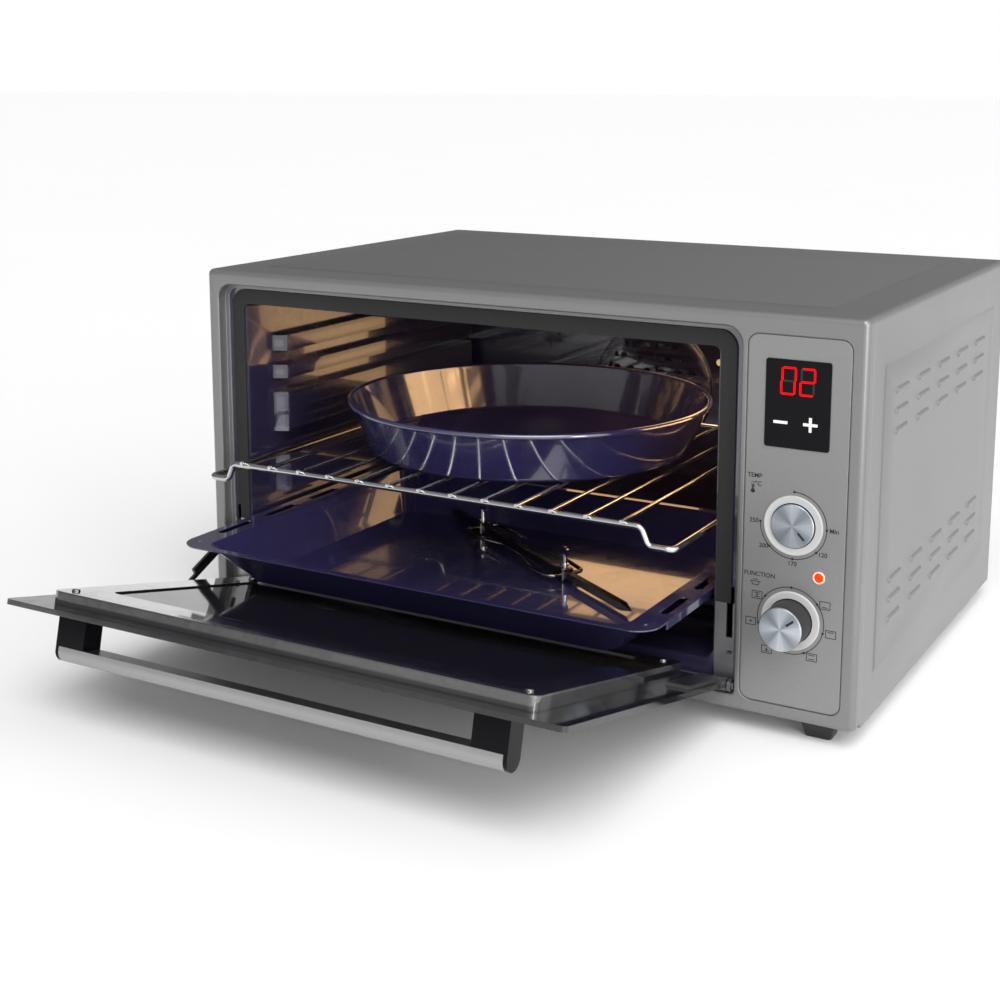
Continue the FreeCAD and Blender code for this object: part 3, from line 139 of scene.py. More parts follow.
def makeBrushGroup():
    # long thin strokes that run along one axis
    group, entry, leave = newGroup(
        "brushedStrokes",
        {"Along": 6.0, "Across": 1500.0, "Sideways": 1500.0},
        {"Stroke": "NodeSocketFloat"})
    coords = addNode(group, "ShaderNodeTexCoord")
    scale = addNode(group, "ShaderNodeCombineXYZ")
    for number, label in enumerate(("Along", "Across", "Sideways")):
        join(group, entry.outputs[label], scale.inputs[number])
    stretch = addNode(group, "ShaderNodeVectorMath", {"operation": "MULTIPLY"})
    join(group, coords.outputs["Object"], stretch.inputs[0])
    join(group, scale.outputs[0], stretch.inputs[1])
    noise = addNode(
        group, "ShaderNodeTexNoise", values={"Scale": 1.0, "Detail": 3.0, "Roughness": 0.65})
    join(group, stretch.outputs[0], noise.inputs["Vector"])
    join(group, noise.outputs["Fac"], leave.inputs["Stroke"])
    return group


def makeWearGroup():
    # bright where an edge turns, so handled rims and corners polish first
    group, entry, leave = newGroup(
        "edgeWear", {"Width": 0.0012, "Patchiness": 40.0, "Amount": 1.0},
        {"Wear": "NodeSocketFloat", "Soft Normal": "NodeSocketVector"})
    geometry = addNode(group, "ShaderNodeNewGeometry")
    rounded = addNode(group, "ShaderNodeBevel", {"samples": 4})
    join(group, entry.outputs["Width"], rounded.inputs["Radius"])
    facing = addNode(group, "ShaderNodeVectorMath", {"operation": "DOT_PRODUCT"})
    join(group, geometry.outputs["Normal"], facing.inputs[0])
    join(group, rounded.outputs["Normal"], facing.inputs[1])
    turn = addNode(group, "ShaderNodeMapRange", values={"From Min": 0.99, "From Max": 0.85})
    join(group, facing.outputs["Value"], turn.inputs["Value"])
    coords = addNode(group, "ShaderNodeTexCoord")
    patch = addNode(group, "ShaderNodeTexNoise", values={"Detail": 3.0})
    join(group, coords.outputs["Object"], patch.inputs["Vector"])
    join(group, entry.outputs["Patchiness"], patch.inputs["Scale"])
    both = addMath(group, "MULTIPLY", turn.outputs["Result"], patch.outputs["Fac"])
    scaled = addMath(group, "MULTIPLY", both, entry.outputs["Amount"], clamp=True)
    join(group, scaled, leave.inputs["Wear"])
    join(group, rounded.outputs["Normal"], leave.inputs["Soft Normal"])
    return group


def makeSmudgeGroup():
    # wiped, slightly greasy film: soft blotches broken by fine streaks
    group, entry, leave = newGroup(
        "wipedFilm", {"Blotch Size": 9.0, "Streak Size": 60.0}, {"Film": "NodeSocketFloat"})
    coords = addNode(group, "ShaderNodeTexCoord")
    blotch = addNode(group, "ShaderNodeTexNoise", values={"Detail": 5.0, "Roughness": 0.6})
    streak = addNode(group, "ShaderNodeTexNoise", values={"Detail": 2.0, "Distortion": 1.5})
    join(group, coords.outputs["Object"], blotch.inputs["Vector"])
    join(group, coords.outputs["Object"], streak.inputs["Vector"])
    join(group, entry.outputs["Blotch Size"], blotch.inputs["Scale"])
    join(group, entry.outputs["Streak Size"], streak.inputs["Scale"])
    both = addMath(group, "MULTIPLY", blotch.outputs["Fac"], streak.outputs["Fac"])
    spread = addNode(group, "ShaderNodeMapRange", values={"From Min": 0.15, "From Max": 0.4})
    join(group, both, spread.inputs["Value"])
    join(group, spread.outputs["Result"], leave.inputs["Film"])
    return group


fineGrain = makeGrainGroup()
brushedStrokes = makeBrushGroup()
edgeWear = makeWearGroup()
wipedFilm = makeSmudgeGroup()
print("shader groups made")


def useGroup(tree, group, values=None):
    return addNode(tree, "ShaderNodeGroup", {"node_tree": group}, values)


def startMaterial(name, values=None):
    material = bpy.data.materials.new(name)
    material.use_nodes = True
    tree = material.node_tree
    shader = tree.nodes["Principled BSDF"]
    for label, value in (values or {}).items():
        shader.inputs[label].default_value = value
    return material, tree, shader


def mixColours(tree, factor, low, high, target):
    mix = addNode(tree, "ShaderNodeMix", {"data_type": "RGBA"})
    mix.inputs["A"].default_value = (*low, 1)
    mix.inputs["B"].default_value = (*high, 1)
    join(tree, factor, mix.inputs["Factor"])
    join(tree, mix.outputs["Result"], target)
    return mix


def wearColour(tree, wear, base, high, gain, lift, shader):
    # the colour turns paler where an edge is worn
    worn = addNode(tree, "ShaderNodeMix", {"data_type": "RGBA"})
    worn.inputs["B"].default_value = (*[min(1, c * gain + lift) for c in high], 1)
    join(tree, wear.outputs["Wear"], worn.inputs["Factor"])
    join(tree, base.outputs["Result"], worn.inputs["A"])
    join(tree, worn.outputs["Result"], shader.inputs["Base Color"])


def rangeInto(tree, source, low, high, target):
    spread = addNode(tree, "ShaderNodeMapRange", values={"To Min": low, "To Max": high})
    join(tree, source, spread.inputs["Value"])
    join(tree, spread.outputs["Result"], target)


def bumpFrom(tree, height, strength, distance, shader, soft=None):
    # soft is a rounded normal for the bump to start from
    bump = addNode(tree, "ShaderNodeBump", values={"Strength": strength, "Distance": distance})
    join(tree, height, bump.inputs["Height"])
    if soft:
        join(tree, soft, bump.inputs["Normal"])
    join(tree, bump.outputs["Normal"], shader.inputs["Normal"])


def paintedMetal(name, low, high, metal, rough, speckle=1400.0, bump=0.04):
    # metallic lacquer over sheet: sparkle in the colour, slow clouds in the gloss, worn edges
    material, tree, shader = startMaterial(name, {"Metallic": metal, "IOR": 1.5})
    grain = useGroup(tree, fineGrain, {"Speckle Size": speckle, "Cloud Size": 7.0, "Contrast": 0.5})
    wear = useGroup(tree, edgeWear, {"Width": 0.0012, "Amount": 0.9})
    mix = mixColours(tree, grain.outputs["Speckle"], low, high, shader.inputs["Base Color"])
    wearColour(tree, wear, mix, high, 1.5, 0.05, shader)
    rangeInto(tree, grain.outputs["Cloud"], rough - 0.04, rough + 0.05, shader.inputs["Roughness"])
    bumpFrom(tree, grain.outputs["Speckle"], bump, 0.0002, shader, wear.outputs["Soft Normal"])
    return material


def brushedMetal(name, low, high, rough, along=(6.0, 1500.0, 1500.0), bump=0.05):
    material, tree, shader = startMaterial(name, {"Metallic": 1.0})
    stroke = useGroup(tree, brushedStrokes, dict(zip(("Along", "Across", "Sideways"), along)))
    film = useGroup(tree, wipedFilm, {"Blotch Size": 14.0})
    mixColours(tree, stroke.outputs["Stroke"], low, high, shader.inputs["Base Color"])
    rangeInto(tree, film.outputs["Film"], rough, rough + 0.1, shader.inputs["Roughness"])
    bumpFrom(tree, stroke.outputs["Stroke"], bump, 0.0001, shader)
    return material


def brightMetal(name, low, high, rough):
    # plated wire and fittings: nearly a mirror, with a faint film
    material, tree, shader = startMaterial(name, {"Metallic": 1.0})
    grain = useGroup(tree, fineGrain, {"Speckle Size": 300.0, "Cloud Size": 25.0, "Contrast": 0.5})
    mixColours(tree, grain.outputs["Cloud"], low, high, shader.inputs["Base Color"])
    rangeInto(tree, grain.outputs["Speckle"], rough * 0.6, rough * 1.5, shader.inputs["Roughness"])
    bumpFrom(tree, grain.outputs["Speckle"], 0.02, 0.0001, shader)
    return material


def enamelled(name, low, high, rough, soft=0.0008, bend=1.75, bump=0.05):
    # fired enamel: deep colour, a wet gloss and a faint orange peel
    material, tree, shader = startMaterial(
        name, {"IOR": bend, "Coat Weight": 1.0, "Coat Roughness": 0.04, "Coat IOR": 1.7})
    grain = useGroup(tree, fineGrain, {"Speckle Size": 130.0, "Cloud Size": 9.0, "Contrast": 0.5})
    film = useGroup(tree, wipedFilm)
    wear = useGroup(tree, edgeWear, {"Width": soft})
    mixColours(tree, grain.outputs["Cloud"], low, high, shader.inputs["Base Color"])
    rangeInto(tree, film.outputs["Film"], rough, rough + 0.12, shader.inputs["Roughness"])
    bumpFrom(tree, grain.outputs["Speckle"], bump, 0.0003, shader, wear.outputs["Soft Normal"])
    return material


def moulded(name, low, high, rough, speckle=700.0, bump=0.15):
    material, tree, shader = startMaterial(name, {"IOR": 1.48})
    grain = useGroup(tree, fineGrain, {"Speckle Size": speckle, "Cloud Size": 15.0, "Contrast": 0.5})
    wear = useGroup(tree, edgeWear, {"Width": 0.0006, "Amount": 0.7})
    mix = mixColours(tree, grain.outputs["Cloud"], low, high, shader.inputs["Base Color"])
    wearColour(tree, wear, mix, high, 2.2, 0.02, shader)
    rangeInto(tree, grain.outputs["Speckle"], rough - 0.05, rough + 0.08, shader.inputs["Roughness"])
    bumpFrom(tree, grain.outputs["Speckle"], bump, 0.0002, shader)
    return material


def tintedGlass(name, colour, alpha, rough, bend=1.9):
    # dark coated pane: mirror-like at a low angle, with a wiped film in its gloss
    material, tree, shader = startMaterial(name, {"IOR": bend, "Metallic": 0.0, "Alpha": alpha})
    film = useGroup(tree, wipedFilm, {"Blotch Size": 6.0, "Streak Size": 35.0})
    hazed = [c * 1.25 for c in colour]
    mixColours(tree, film.outputs["Film"], colour, hazed, shader.inputs["Base Color"])
    rangeInto(tree, film.outputs["Film"], rough, rough + 0.05, shader.inputs["Roughness"])
    return material


def glowing(name, low, high, strength, rough=0.3, bend=1.5):
    # lit lens or lamp glass, unevenly bright; also the painted glow on the indicator's collar, which is
    # no lamp
    material, tree, shader = startMaterial(name, {"IOR": bend, "Emission Strength": strength})
    grain = useGroup(tree, fineGrain, {"Speckle Size": 500.0, "Cloud Size": 120.0, "Contrast": 0.5})
    mixColours(tree, grain.outputs["Cloud"], low, high, shader.inputs["Base Color"])
    mixColours(tree, grain.outputs["Cloud"], low, high, shader.inputs["Emission Color"])
    rangeInto(tree, grain.outputs["Speckle"], rough * 0.7, rough * 1.3, shader.inputs["Roughness"])
    return material


# the first two entries shape the fans of painted highlight and painted shade on the knob faces; rings
# and ringDepth are the lathe bump
spunLook = {"highlightFans": 4.0, "highlightShare": 0.28, "rings": 14000.0, "ringDepth": 0.00003}


def spunMetalPaintedHighlights(name, centre, low, high, rough):
    # turned face: painted highlight and painted shade in bright and dark fans round the centre, in
    # place of the spun metal's reflections, with fine lathe rings in the bump
    material, tree, shader = startMaterial(name, {"Metallic": 1.0})
    coords = addNode(tree, "ShaderNodeTexCoord")
    shift = addNode(tree, "ShaderNodeMapping")
    shift.inputs["Location"].default_value = [-c for c in centre]
    join(tree, coords.outputs["Object"], shift.inputs["Vector"])
    split = addNode(tree, "ShaderNodeSeparateXYZ")
    join(tree, shift.outputs["Vector"], split.inputs[0])
    angle = addMath(tree, "ARCTAN2", split.outputs["Z"], split.outputs["X"])
    # the fans are painted highlight and painted shade: a cosine of the angle round the centre, mixed
    # into the base colour
    paintedHighlightWave = addMath(tree, "COSINE", addMath(tree, "MULTIPLY", angle, spunLook["highlightFans"]))
    direction = addNode(tree, "ShaderNodeCombineXYZ")
    join(tree, angle, direction.inputs["X"])
    hair = addNode(
        tree, "ShaderNodeTexNoise", values={"Scale": 7.0, "Detail": 6.0, "Roughness": 0.8})
    join(tree, direction.outputs[0], hair.inputs["Vector"])
    highlightAndHairlines = addMath(tree, "MULTIPLY_ADD", paintedHighlightWave, spunLook["highlightShare"], hair.outputs["Fac"])
    mixColours(tree, highlightAndHairlines, low, high, shader.inputs["Base Color"])
    rangeInto(tree, highlightAndHairlines, rough + 0.12, rough - 0.04, shader.inputs["Roughness"])
    length = addNode(tree, "ShaderNodeVectorMath", {"operation": "LENGTH"})
    flat = addNode(tree, "ShaderNodeCombineXYZ")
    join(tree, split.outputs["X"], flat.inputs["X"])
    join(tree, split.outputs["Z"], flat.inputs["Z"])
    join(tree, flat.outputs[0], length.inputs[0])
    lathe = addMath(tree, "SINE", addMath(tree, "MULTIPLY", length.outputs["Value"], spunLook["rings"]))
    bumpFrom(tree, lathe, 0.05, spunLook["ringDepth"], shader)
    return material


def wovenBlanket(name, low, high):
    # matted fibre behind the liner
    material, tree, shader = startMaterial(name, {"Sheen Weight": 0.3})
    coords = addNode(tree, "ShaderNodeTexCoord")
    weave = addNode(tree, "ShaderNodeTexVoronoi", values={"Scale": 160.0})
    join(tree, coords.outputs["Object"], weave.inputs["Vector"])
    mixColours(tree, weave.outputs["Distance"], low, high, shader.inputs["Base Color"])
    rangeInto(tree, weave.outputs["Distance"], 0.8, 0.98, shader.inputs["Roughness"])
    bumpFrom(tree, weave.outputs["Distance"], 0.5, 0.001, shader)
    return material


finishes = {
    "steel_silver": paintedMetal("bodyLacquer", (0.19, 0.19, 0.19), (0.27, 0.27, 0.27), 0.6, 0.34),
    "panel_steel": paintedMetal("panelLacquer", (0.23, 0.23, 0.23), (0.31, 0.31, 0.31), 0.6, 0.38),
    "bare_steel": brushedMetal("bareSheet", (0.42, 0.43, 0.44), (0.6, 0.6, 0.6), 0.32),
    "black_plastic": moulded("blackMoulding", (0.013, 0.013, 0.014), (0.022, 0.022, 0.023), 0.42),
    "gloss_black": tintedGlass("displayPane", (0.003, 0.003, 0.004), 1.0, 0.08, 1.22),
    "clear_lens": glowing("lampLens", (1.0, 0.01, 0.0), (1.0, 0.05, 0.005), 1.2, 0.3, 1.15),
    "chrome": brightMetal("brightPlate", (0.55, 0.55, 0.55), (0.7, 0.7, 0.7), 0.08),
    "knob_silver": moulded(
        "satinSilver", (0.46, 0.46, 0.46), (0.54, 0.54, 0.54), 0.4, 1100.0, 0.04),
    "shaft_steel": brushedMetal(
        "shaftSteel", (0.45, 0.45, 0.46), (0.62, 0.62, 0.62), 0.28, (1500.0, 1500.0, 6.0)),
    "enamel_blue": enamelled(
        "cavityEnamel", (0.016, 0.013, 0.038), (0.03, 0.024, 0.06), 0.13, 0.005),
    "seal": moulded("sealRubber", (0.008, 0.008, 0.008), (0.016, 0.016, 0.015), 0.6, 500.0, 0.2),
    "door_glass": tintedGlass("doorPane", (0.01, 0.01, 0.012), 0.9, 0.04),
    "handle_silver": brushedMetal(
        "handleMetal", (0.36, 0.36, 0.36), (0.42, 0.42, 0.42), 0.3, bump=0.01),
    "pan_enamel": enamelled("panEnamel", (0.018, 0.015, 0.055), (0.03, 0.026, 0.085), 0.1),
    "element_sheath": moulded(
        "elementSheath", (0.07, 0.065, 0.06), (0.15, 0.14, 0.13), 0.45, 400.0, 0.3),
    "blanket": wovenBlanket("mineralBlanket", (0.42, 0.4, 0.34), (0.7, 0.68, 0.62)),
    "lamp_glass": glowing("warmGlass", (1.0, 0.55, 0.18), (1.0, 0.7, 0.32), 4.0),
    "board_green": moulded(
        "circuitBoard", (0.01, 0.08, 0.03), (0.02, 0.13, 0.05), 0.4, 300.0, 0.2),
    "brass": brushedMetal("brassFitting", (0.6, 0.42, 0.16), (0.75, 0.56, 0.25), 0.3),
}
lugSteel = brushedMetal("lugSteel", (0.12, 0.12, 0.13), (0.22, 0.22, 0.23), 0.36)
forkSteel = brightMetal("forkSteel", (0.16, 0.15, 0.14), (0.3, 0.28, 0.26), 0.16)
doorEnamel = enamelled(
    "doorFrameEnamel", (0.008, 0.008, 0.01), (0.016, 0.016, 0.019), 0.08, 0.002, 2.3)
litRed = glowing("litSegment", (0.85, 0.0, 0.002), (1.0, 0.002, 0.006), 0.8, 0.4, 1.1)
unlitRed = moulded("darkSegment", (0.009, 0.01, 0.012), (0.013, 0.014, 0.017), 0.6, 700.0, 0.02)
printWhite = moulded("printedWhite", (0.8, 0.8, 0.8), (0.9, 0.9, 0.9), 0.5, 900.0, 0.02)
printDark = moulded(
    "printedDark", (0.008, 0.008, 0.008), (0.014, 0.014, 0.014), 0.6, 900.0, 0.02)
print("materials made")


slotOf = {row["node"]: row["material_slot"] for row in frame["record"]["subparts"]}
ownFinish = {"door_frame": doorEnamel, "door_lug_left": lugSteel, "door_lug_right": lugSteel,
             "hinge_arm_left": lugSteel, "hinge_springs": lugSteel, "hinge_pins": lugSteel,
             "door_screws": forkSteel, "spit_rod": forkSteel, "front_fork": forkSteel,
             "rear_fork": forkSteel}
creaseLook = {"weld": 0.000002, "angle": 28}


def dressNode(name, node):
    # welding and splitting happen in modifiers: the mesh stays, and round parts shade smoothly
    node.data.materials.clear()
    node.data.materials.append(ownFinish.get(name, finishes[slotOf[name]]))
    node.data.polygons.foreach_set("use_smooth", [True] * len(node.data.polygons))
    weld = node.modifiers.new("weld", "WELD")
    weld.merge_threshold = creaseLook["weld"]
    split = node.modifiers.new("creases", "EDGE_SPLIT")
    split.split_angle = math.radians(creaseLook["angle"])


for name, node in frame["nodes"].items():
    dressNode(name, node)
print("nodes dressed")


def deselectAll():
    if bpy.context.object and bpy.context.object.mode != "OBJECT":
        bpy.ops.object.mode_set(mode="OBJECT")
    bpy.ops.object.select_all(action="DESELECT")


def pickOnly(piece):
    deselectAll()
    piece.select_set(True)
    bpy.context.view_layer.objects.active = piece


def settle(piece):
    pickOnly(piece)
    bpy.ops.object.transform_apply(location=True, rotation=True, scale=True)


def useModifier(piece, kind, **settings):
    pickOnly(piece)
    modifier = piece.modifiers.new(kind.lower(), kind)
    for label, value in settings.items():
        setattr(modifier, label, value)
    bpy.ops.object.modifier_apply(modifier=modifier.name)


def joinPieces(pieces):
    pickOnly(pieces[0])
    for piece in pieces:
        piece.select_set(True)
    bpy.ops.object.join()
    return bpy.context.object


def finishPiece(piece, name, body, materials, replaces=(), smooth=30):
    settle(piece)
    piece.name = name
    piece.data.name = name
    if materials:
        piece.data.materials.clear()
        for material in materials:
            piece.data.materials.append(material)
    bpy.ops.object.shade_smooth_by_angle(angle=math.radians(smooth))
    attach(piece, body)
    if replaces:
        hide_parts(*replaces)
    return piece


def startPoint():
    # one vertex at the origin, left in edit mode to be drawn out
    deselectAll()
    bpy.ops.mesh.primitive_plane_add(size=0.001, location=(0, 0, 0))
    bpy.ops.object.mode_set(mode="EDIT")
    bpy.ops.mesh.select_mode(type="VERT")
    bpy.ops.mesh.select_all(action="SELECT")
    bpy.ops.mesh.merge(type="CENTER")
    return bpy.context.object


def turned(outline, centre, axis, steps=96):
    # rows of (radius, height) are drawn as an outline, then spun round the axis
    piece = startPoint()
    out = Vector((1, 0, 0))
    rise = Vector(axis)
    spot = Vector((0, 0, 0))
    for number, (radius, height) in enumerate(outline):
        step = out * radius * mm + rise * height * mm - spot
        spot += step
        if number == 0:
            bpy.ops.transform.translate(value=step)
        else:
            bpy.ops.mesh.extrude_region_move(TRANSFORM_OT_translate={"value": step})
    bpy.ops.mesh.select_all(action="SELECT")
    bpy.ops.mesh.spin(steps=steps, angle=math.tau, center=(0, 0, 0), axis=axis)
    bpy.ops.mesh.select_all(action="SELECT")
    bpy.ops.mesh.remove_doubles(threshold=0.000001)
    bpy.ops.mesh.normals_make_consistent(inside=False)
    bpy.ops.object.mode_set(mode="OBJECT")
    piece.location = centre
    settle(piece)
    return piece


def arc(centreOut, centreUp, radius, start, end, count):
    turns = [math.radians(start + (end - start) * n / count) for n in range(count + 1)]
    return [(centreOut + radius * math.cos(t), centreUp + radius * math.sin(t)) for t in turns]


def slab(size, spot, turn=0.0, bevel=0.15):
    # small plate facing the front, turned about the front-to-back axis, with its edges broken
    deselectAll()
    bpy.ops.mesh.primitive_cube_add(size=1, location=spot)
    piece = bpy.context.object
    piece.scale = [s * mm for s in size]
    piece.rotation_euler = (0, math.radians(turn), 0)
    settle(piece)
    bpy.ops.object.mode_set(mode="EDIT")
    bpy.ops.mesh.select_all(action="SELECT")
    broken = min(bevel, size[0] * 0.3, size[2] * 0.3) * mm
    bpy.ops.mesh.bevel(offset=broken, segments=1, affect="EDGES")
    bpy.ops.object.mode_set(mode="OBJECT")
    return piece


def paintFaces(piece, number, test):
    for face in piece.data.polygons:
        if test(face.center):
            face.material_index = number


def frameBody(node):
    return frame["nodes"][node]["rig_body"]


knobBlack = finishes["black_plastic"]
ringShape = {"outside": 22.2, "bore": 16.65, "sleeve": 19.2, "long": 24.8, "thick": 1.3, "roll": 0.7,
             "chamfer": (0.25, 0.45), "crown": (20.6, 0.08), "flat": 21.2}
capShape = {"side": 16.25, "long": 26.0, "flat": 12.0, "bright": 15.4, "roll": 0.7, "edge": 1.6,
            "hollow": 14.5, "stem": 5.4, "shaft": 3.06, "roof": 2.4, "bottom": 1.7}
pointerLook = {"wide": 1.8, "thick": 0.24, "long": 7.0, "out": 9.5}
pointerTurns = {"temperature": 135, "function": 51.4}


def makeDial(name, pointerTurn):
    ringLow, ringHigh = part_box(name + "_dial_ring")
    centre = (ringLow + ringHigh) / 2
    s = ringShape
    ringFace = Vector((centre.x, ringLow.y, centre.z))
    outline = [(s["bore"], s["long"]), (s["bore"], s["roll"])]
    outline += [(s["bore"] + s["chamfer"][0], s["chamfer"][1]), s["crown"], (s["flat"], 0.0)]
    outline += arc(s["outside"] - s["roll"], s["roll"], s["roll"], 270, 360, 4)
    outline += [(s["outside"], s["thick"]), (s["sleeve"], s["thick"])]
    outline += [(s["sleeve"], s["long"]), (s["bore"], s["long"])]
    ring = turned(outline, ringFace, (0, 1, 0))
    for material in (finishes["knob_silver"], knobBlack):
        ring.data.materials.append(material)
    boreLimit = (s["bore"] + 0.2) * mm
    paintFaces(ring, 1, lambda at: math.hypot(at.x - centre.x, at.z - centre.z) < boreLimit)
    ringNode = name + "_dial_ring"
    finishPiece(ring, name + "DialRing", frameBody(ringNode), None, [ringNode], 25)

    s = capShape
    capFace = Vector((centre.x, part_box(name + "_knob")[0].y, centre.z))
    outline = [(0, 0.0), (s["flat"], 0.0), (s["bright"], 0.05)]
    outline += arc(s["bright"] + 0.15, 0.75, s["roll"], 275, 360, 4)
    outline += [(s["side"], s["edge"]), (s["side"], s["long"]), (s["hollow"], s["long"])]
    outline += [(s["hollow"], s["roof"]), (s["stem"], s["roof"]), (s["stem"], s["long"] - 1)]
    outline += [(s["shaft"], s["long"] - 1), (s["shaft"], s["bottom"]), (0, s["bottom"])]
    cap = turned(outline, capFace, (0, 1, 0))
    face = spunMetalPaintedHighlights(name + "SpunFacePaintedHighlights", centre, (0.2, 0.23, 0.27), (0.74, 0.79, 0.85), 0.3)
    for material in (face, knobBlack):
        cap.data.materials.append(material)
    brightEdge = capFace.y + s["edge"] * mm
    paintFaces(cap, 1, lambda at: at.y > brightEdge)
    body = frameBody(name + "_knob")
    finishPiece(cap, name + "KnobCap", body, None, [name + "_knob"], 25)

    s = pointerLook
    turn = math.radians(pointerTurn)
    middle = capFace + Vector((math.sin(turn), 0, math.cos(turn))) * s["out"] * mm
    mark = slab((s["wide"], s["thick"], s["long"]), middle, pointerTurn)
    finishPiece(mark, name + "Pointer", body, [printDark])
    return centre


temperatureCentre = makeDial("temperature", pointerTurns["temperature"])
functionCentre = makeDial("function", pointerTurns["function"])
print("dials made")


printDepth = 0.12
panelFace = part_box("control_panel")[0].y
inkSpot = panelFace - 0.03 * mm
scaleLook = {"line": 0.62, "dot": 0.95, "temperatureArc": 25.0, "functionArc": 25.2, "letter": 4.7,
             "bold": 0.07, "bar": 0.58}


def inked(x, z):
    # a spot in the layer of ink on the panel's face
    return Vector((x, inkSpot, z))


def shifted(spot, aside, up):
    return spot + Vector((aside, 0, up)) * mm


def around(centre, radius, degrees):
    turn = math.radians(degrees)
    return inked(centre.x + radius * mm * math.sin(turn), centre.z + radius * mm * math.cos(turn))


def printedArc(centre, radius, start, sweep, line):
    # a short radial edge swept clockwise seen from the front, then given a film's thickness
    piece = startPoint()
    outward = Vector((math.sin(math.radians(start)), 0, math.cos(math.radians(start))))
    bpy.ops.transform.translate(value=outward * (radius - line / 2) * mm)
    bpy.ops.mesh.extrude_region_move(TRANSFORM_OT_translate={"value": outward * line * mm})
    bpy.ops.mesh.select_all(action="SELECT")
    bpy.ops.mesh.spin(
        steps=max(8, int(sweep / 4)), angle=math.radians(sweep), center=(0, 0, 0), axis=(0, -1, 0))
    bpy.ops.object.mode_set(mode="OBJECT")
    useModifier(piece, "SOLIDIFY", thickness=printDepth * mm, offset=0)
    piece.location = inked(centre.x, centre.z)
    settle(piece)
    return piece


def printedDot(spot, radius):
    deselectAll()
    bpy.ops.mesh.primitive_cylinder_add(
        vertices=14, radius=radius * mm, depth=printDepth * mm, location=spot,
        rotation=(math.radians(90), 0, 0))
    piece = bpy.context.object
    settle(piece)
    bpy.ops.object.mode_set(mode="EDIT")
    bpy.ops.mesh.select_all(action="SELECT")
    bpy.ops.mesh.bevel(offset=0.03 * mm, segments=1, affect="EDGES")
    bpy.ops.object.mode_set(mode="OBJECT")
    return piece


def printedWord(words, spot):
    deselectAll()
    bpy.ops.object.text_add(location=spot, rotation=(math.radians(90), 0, 0))
    piece = bpy.context.object
    piece.data.body = words
    piece.data.size = scaleLook["letter"] * mm
    piece.data.align_x = "CENTER"
    piece.data.align_y = "CENTER"
    piece.data.extrude = printDepth / 2 * mm
    piece.data.offset = scaleLook["bold"] * mm
    bpy.ops.object.convert(target="MESH")
    settle(piece)
    return piece


def printedBars(spot, rows, line=scaleLook["bar"]):
    # each row is (x, z, x, z), from the spot, for a bar's two ends
    bars = []
    for row in rows:
        start, end = shifted(spot, *row[:2]), shifted(spot, *row[2:])
        run = end - start
        turn = math.degrees(math.atan2(run.x, run.z))
        bars.append(slab((line, printDepth, run.length / mm + line), (start + end) / 2, turn, 0.05))
    return bars


def finishPrint(parts, name):
    finishPiece(joinPieces(parts), name, "housing", [printDark])


temperatureWords = {"Min": (90, 5.4, -0.3), "120": (135, 4.8, -1.2), "170": (180, 0, -3.6),
                    "200": (225, -4.5, -0.5), "250": (270, -4.9, 0)}
temperatureDots = (0, 90, 135, 180, 225, 270)


def makeTemperatureScale():
    s = scaleLook
    c = temperatureCentre
    parts = [printedArc(c, s["temperatureArc"], 0, 270, s["line"])]
    parts += [printedDot(around(c, s["temperatureArc"], t), s["dot"]) for t in temperatureDots]
    for words, (turn, aside, up) in temperatureWords.items():
        spot = around(c, s["temperatureArc"], turn)
        parts.append(printedWord(words, shifted(spot, aside, up)))
    finishPrint(parts, "temperatureScale")


iconFrame = {"wide": 7.6, "tall": 5.6}
iconMarks = {"top": [(-2, 1.5, 2, 1.5)], "bottom": [(-2, -1.5, 2, -1.5)],
             "fan": [(-0.9, 0, 0.9, 0), (0, -0.9, 0, 0.9)]}
functionIcons = {(25.5, 15.7): ["bottom"], (30.5, -5.3): ["top"], (16.9, -25.0): ["top", "bottom"],
                 (-17.5, -25.1): ["bottom", "fan"], (-30.3, -5.2): ["fan"],
                 (-26.0, 15.5): ["top", "bottom", "fan"]}
functionStops = 7


def ovenIcon(spot, marks):
    x, z = iconFrame["wide"] / 2, iconFrame["tall"] / 2
    parts = printedBars(spot, [(-x, -z, x, -z), (x, -z, x, z), (x, z, -x, z), (-x, z, -x, -z)])
    for mark in marks:
        parts += printedBars(spot, iconMarks[mark])
    return parts


def makeFunctionScale():
    s = scaleLook
    c = functionCentre
    turns = [number * 360 / functionStops for number in range(functionStops)]
    parts = [printedArc(c, s["functionArc"], 0, 360, s["line"])]
    parts += [printedDot(around(c, s["functionArc"], turn), s["dot"]) for turn in turns]
    for (aside, up), marks in functionIcons.items():
        parts += ovenIcon(shifted(inked(c.x, c.z), aside, up), marks)
    finishPrint(parts, "functionScale")


thermometerLook = {"aside": -31.5, "up": 24.7, "bulb": 1.7, "bulbUp": -2.6, "stem": 1.1, "tube": 0.35,
                   "stemRow": (0, -1, 0, 1.6), "heading": (1.2, 8.9), "unit": (4.0, 2.9),
                   "tubeRows": [(-0.9, 0, -0.9, 4.2), (0.9, 0, 0.9, 4.2), (-0.9, 4.2, 0.9, 4.2)]}
dishLook = {"aside": -27.5, "up": 24.7, "heading": (3.0, 6.6),
            "rows": [(-3, 1, -2.2, -1.6), (-2.2, -1.6, 2.2, -1.6), (2.2, -1.6, 3, 1),
                     (-3.8, 1, 3.8, 1), (-1.8, 2.5, 1.8, 2.5)]}


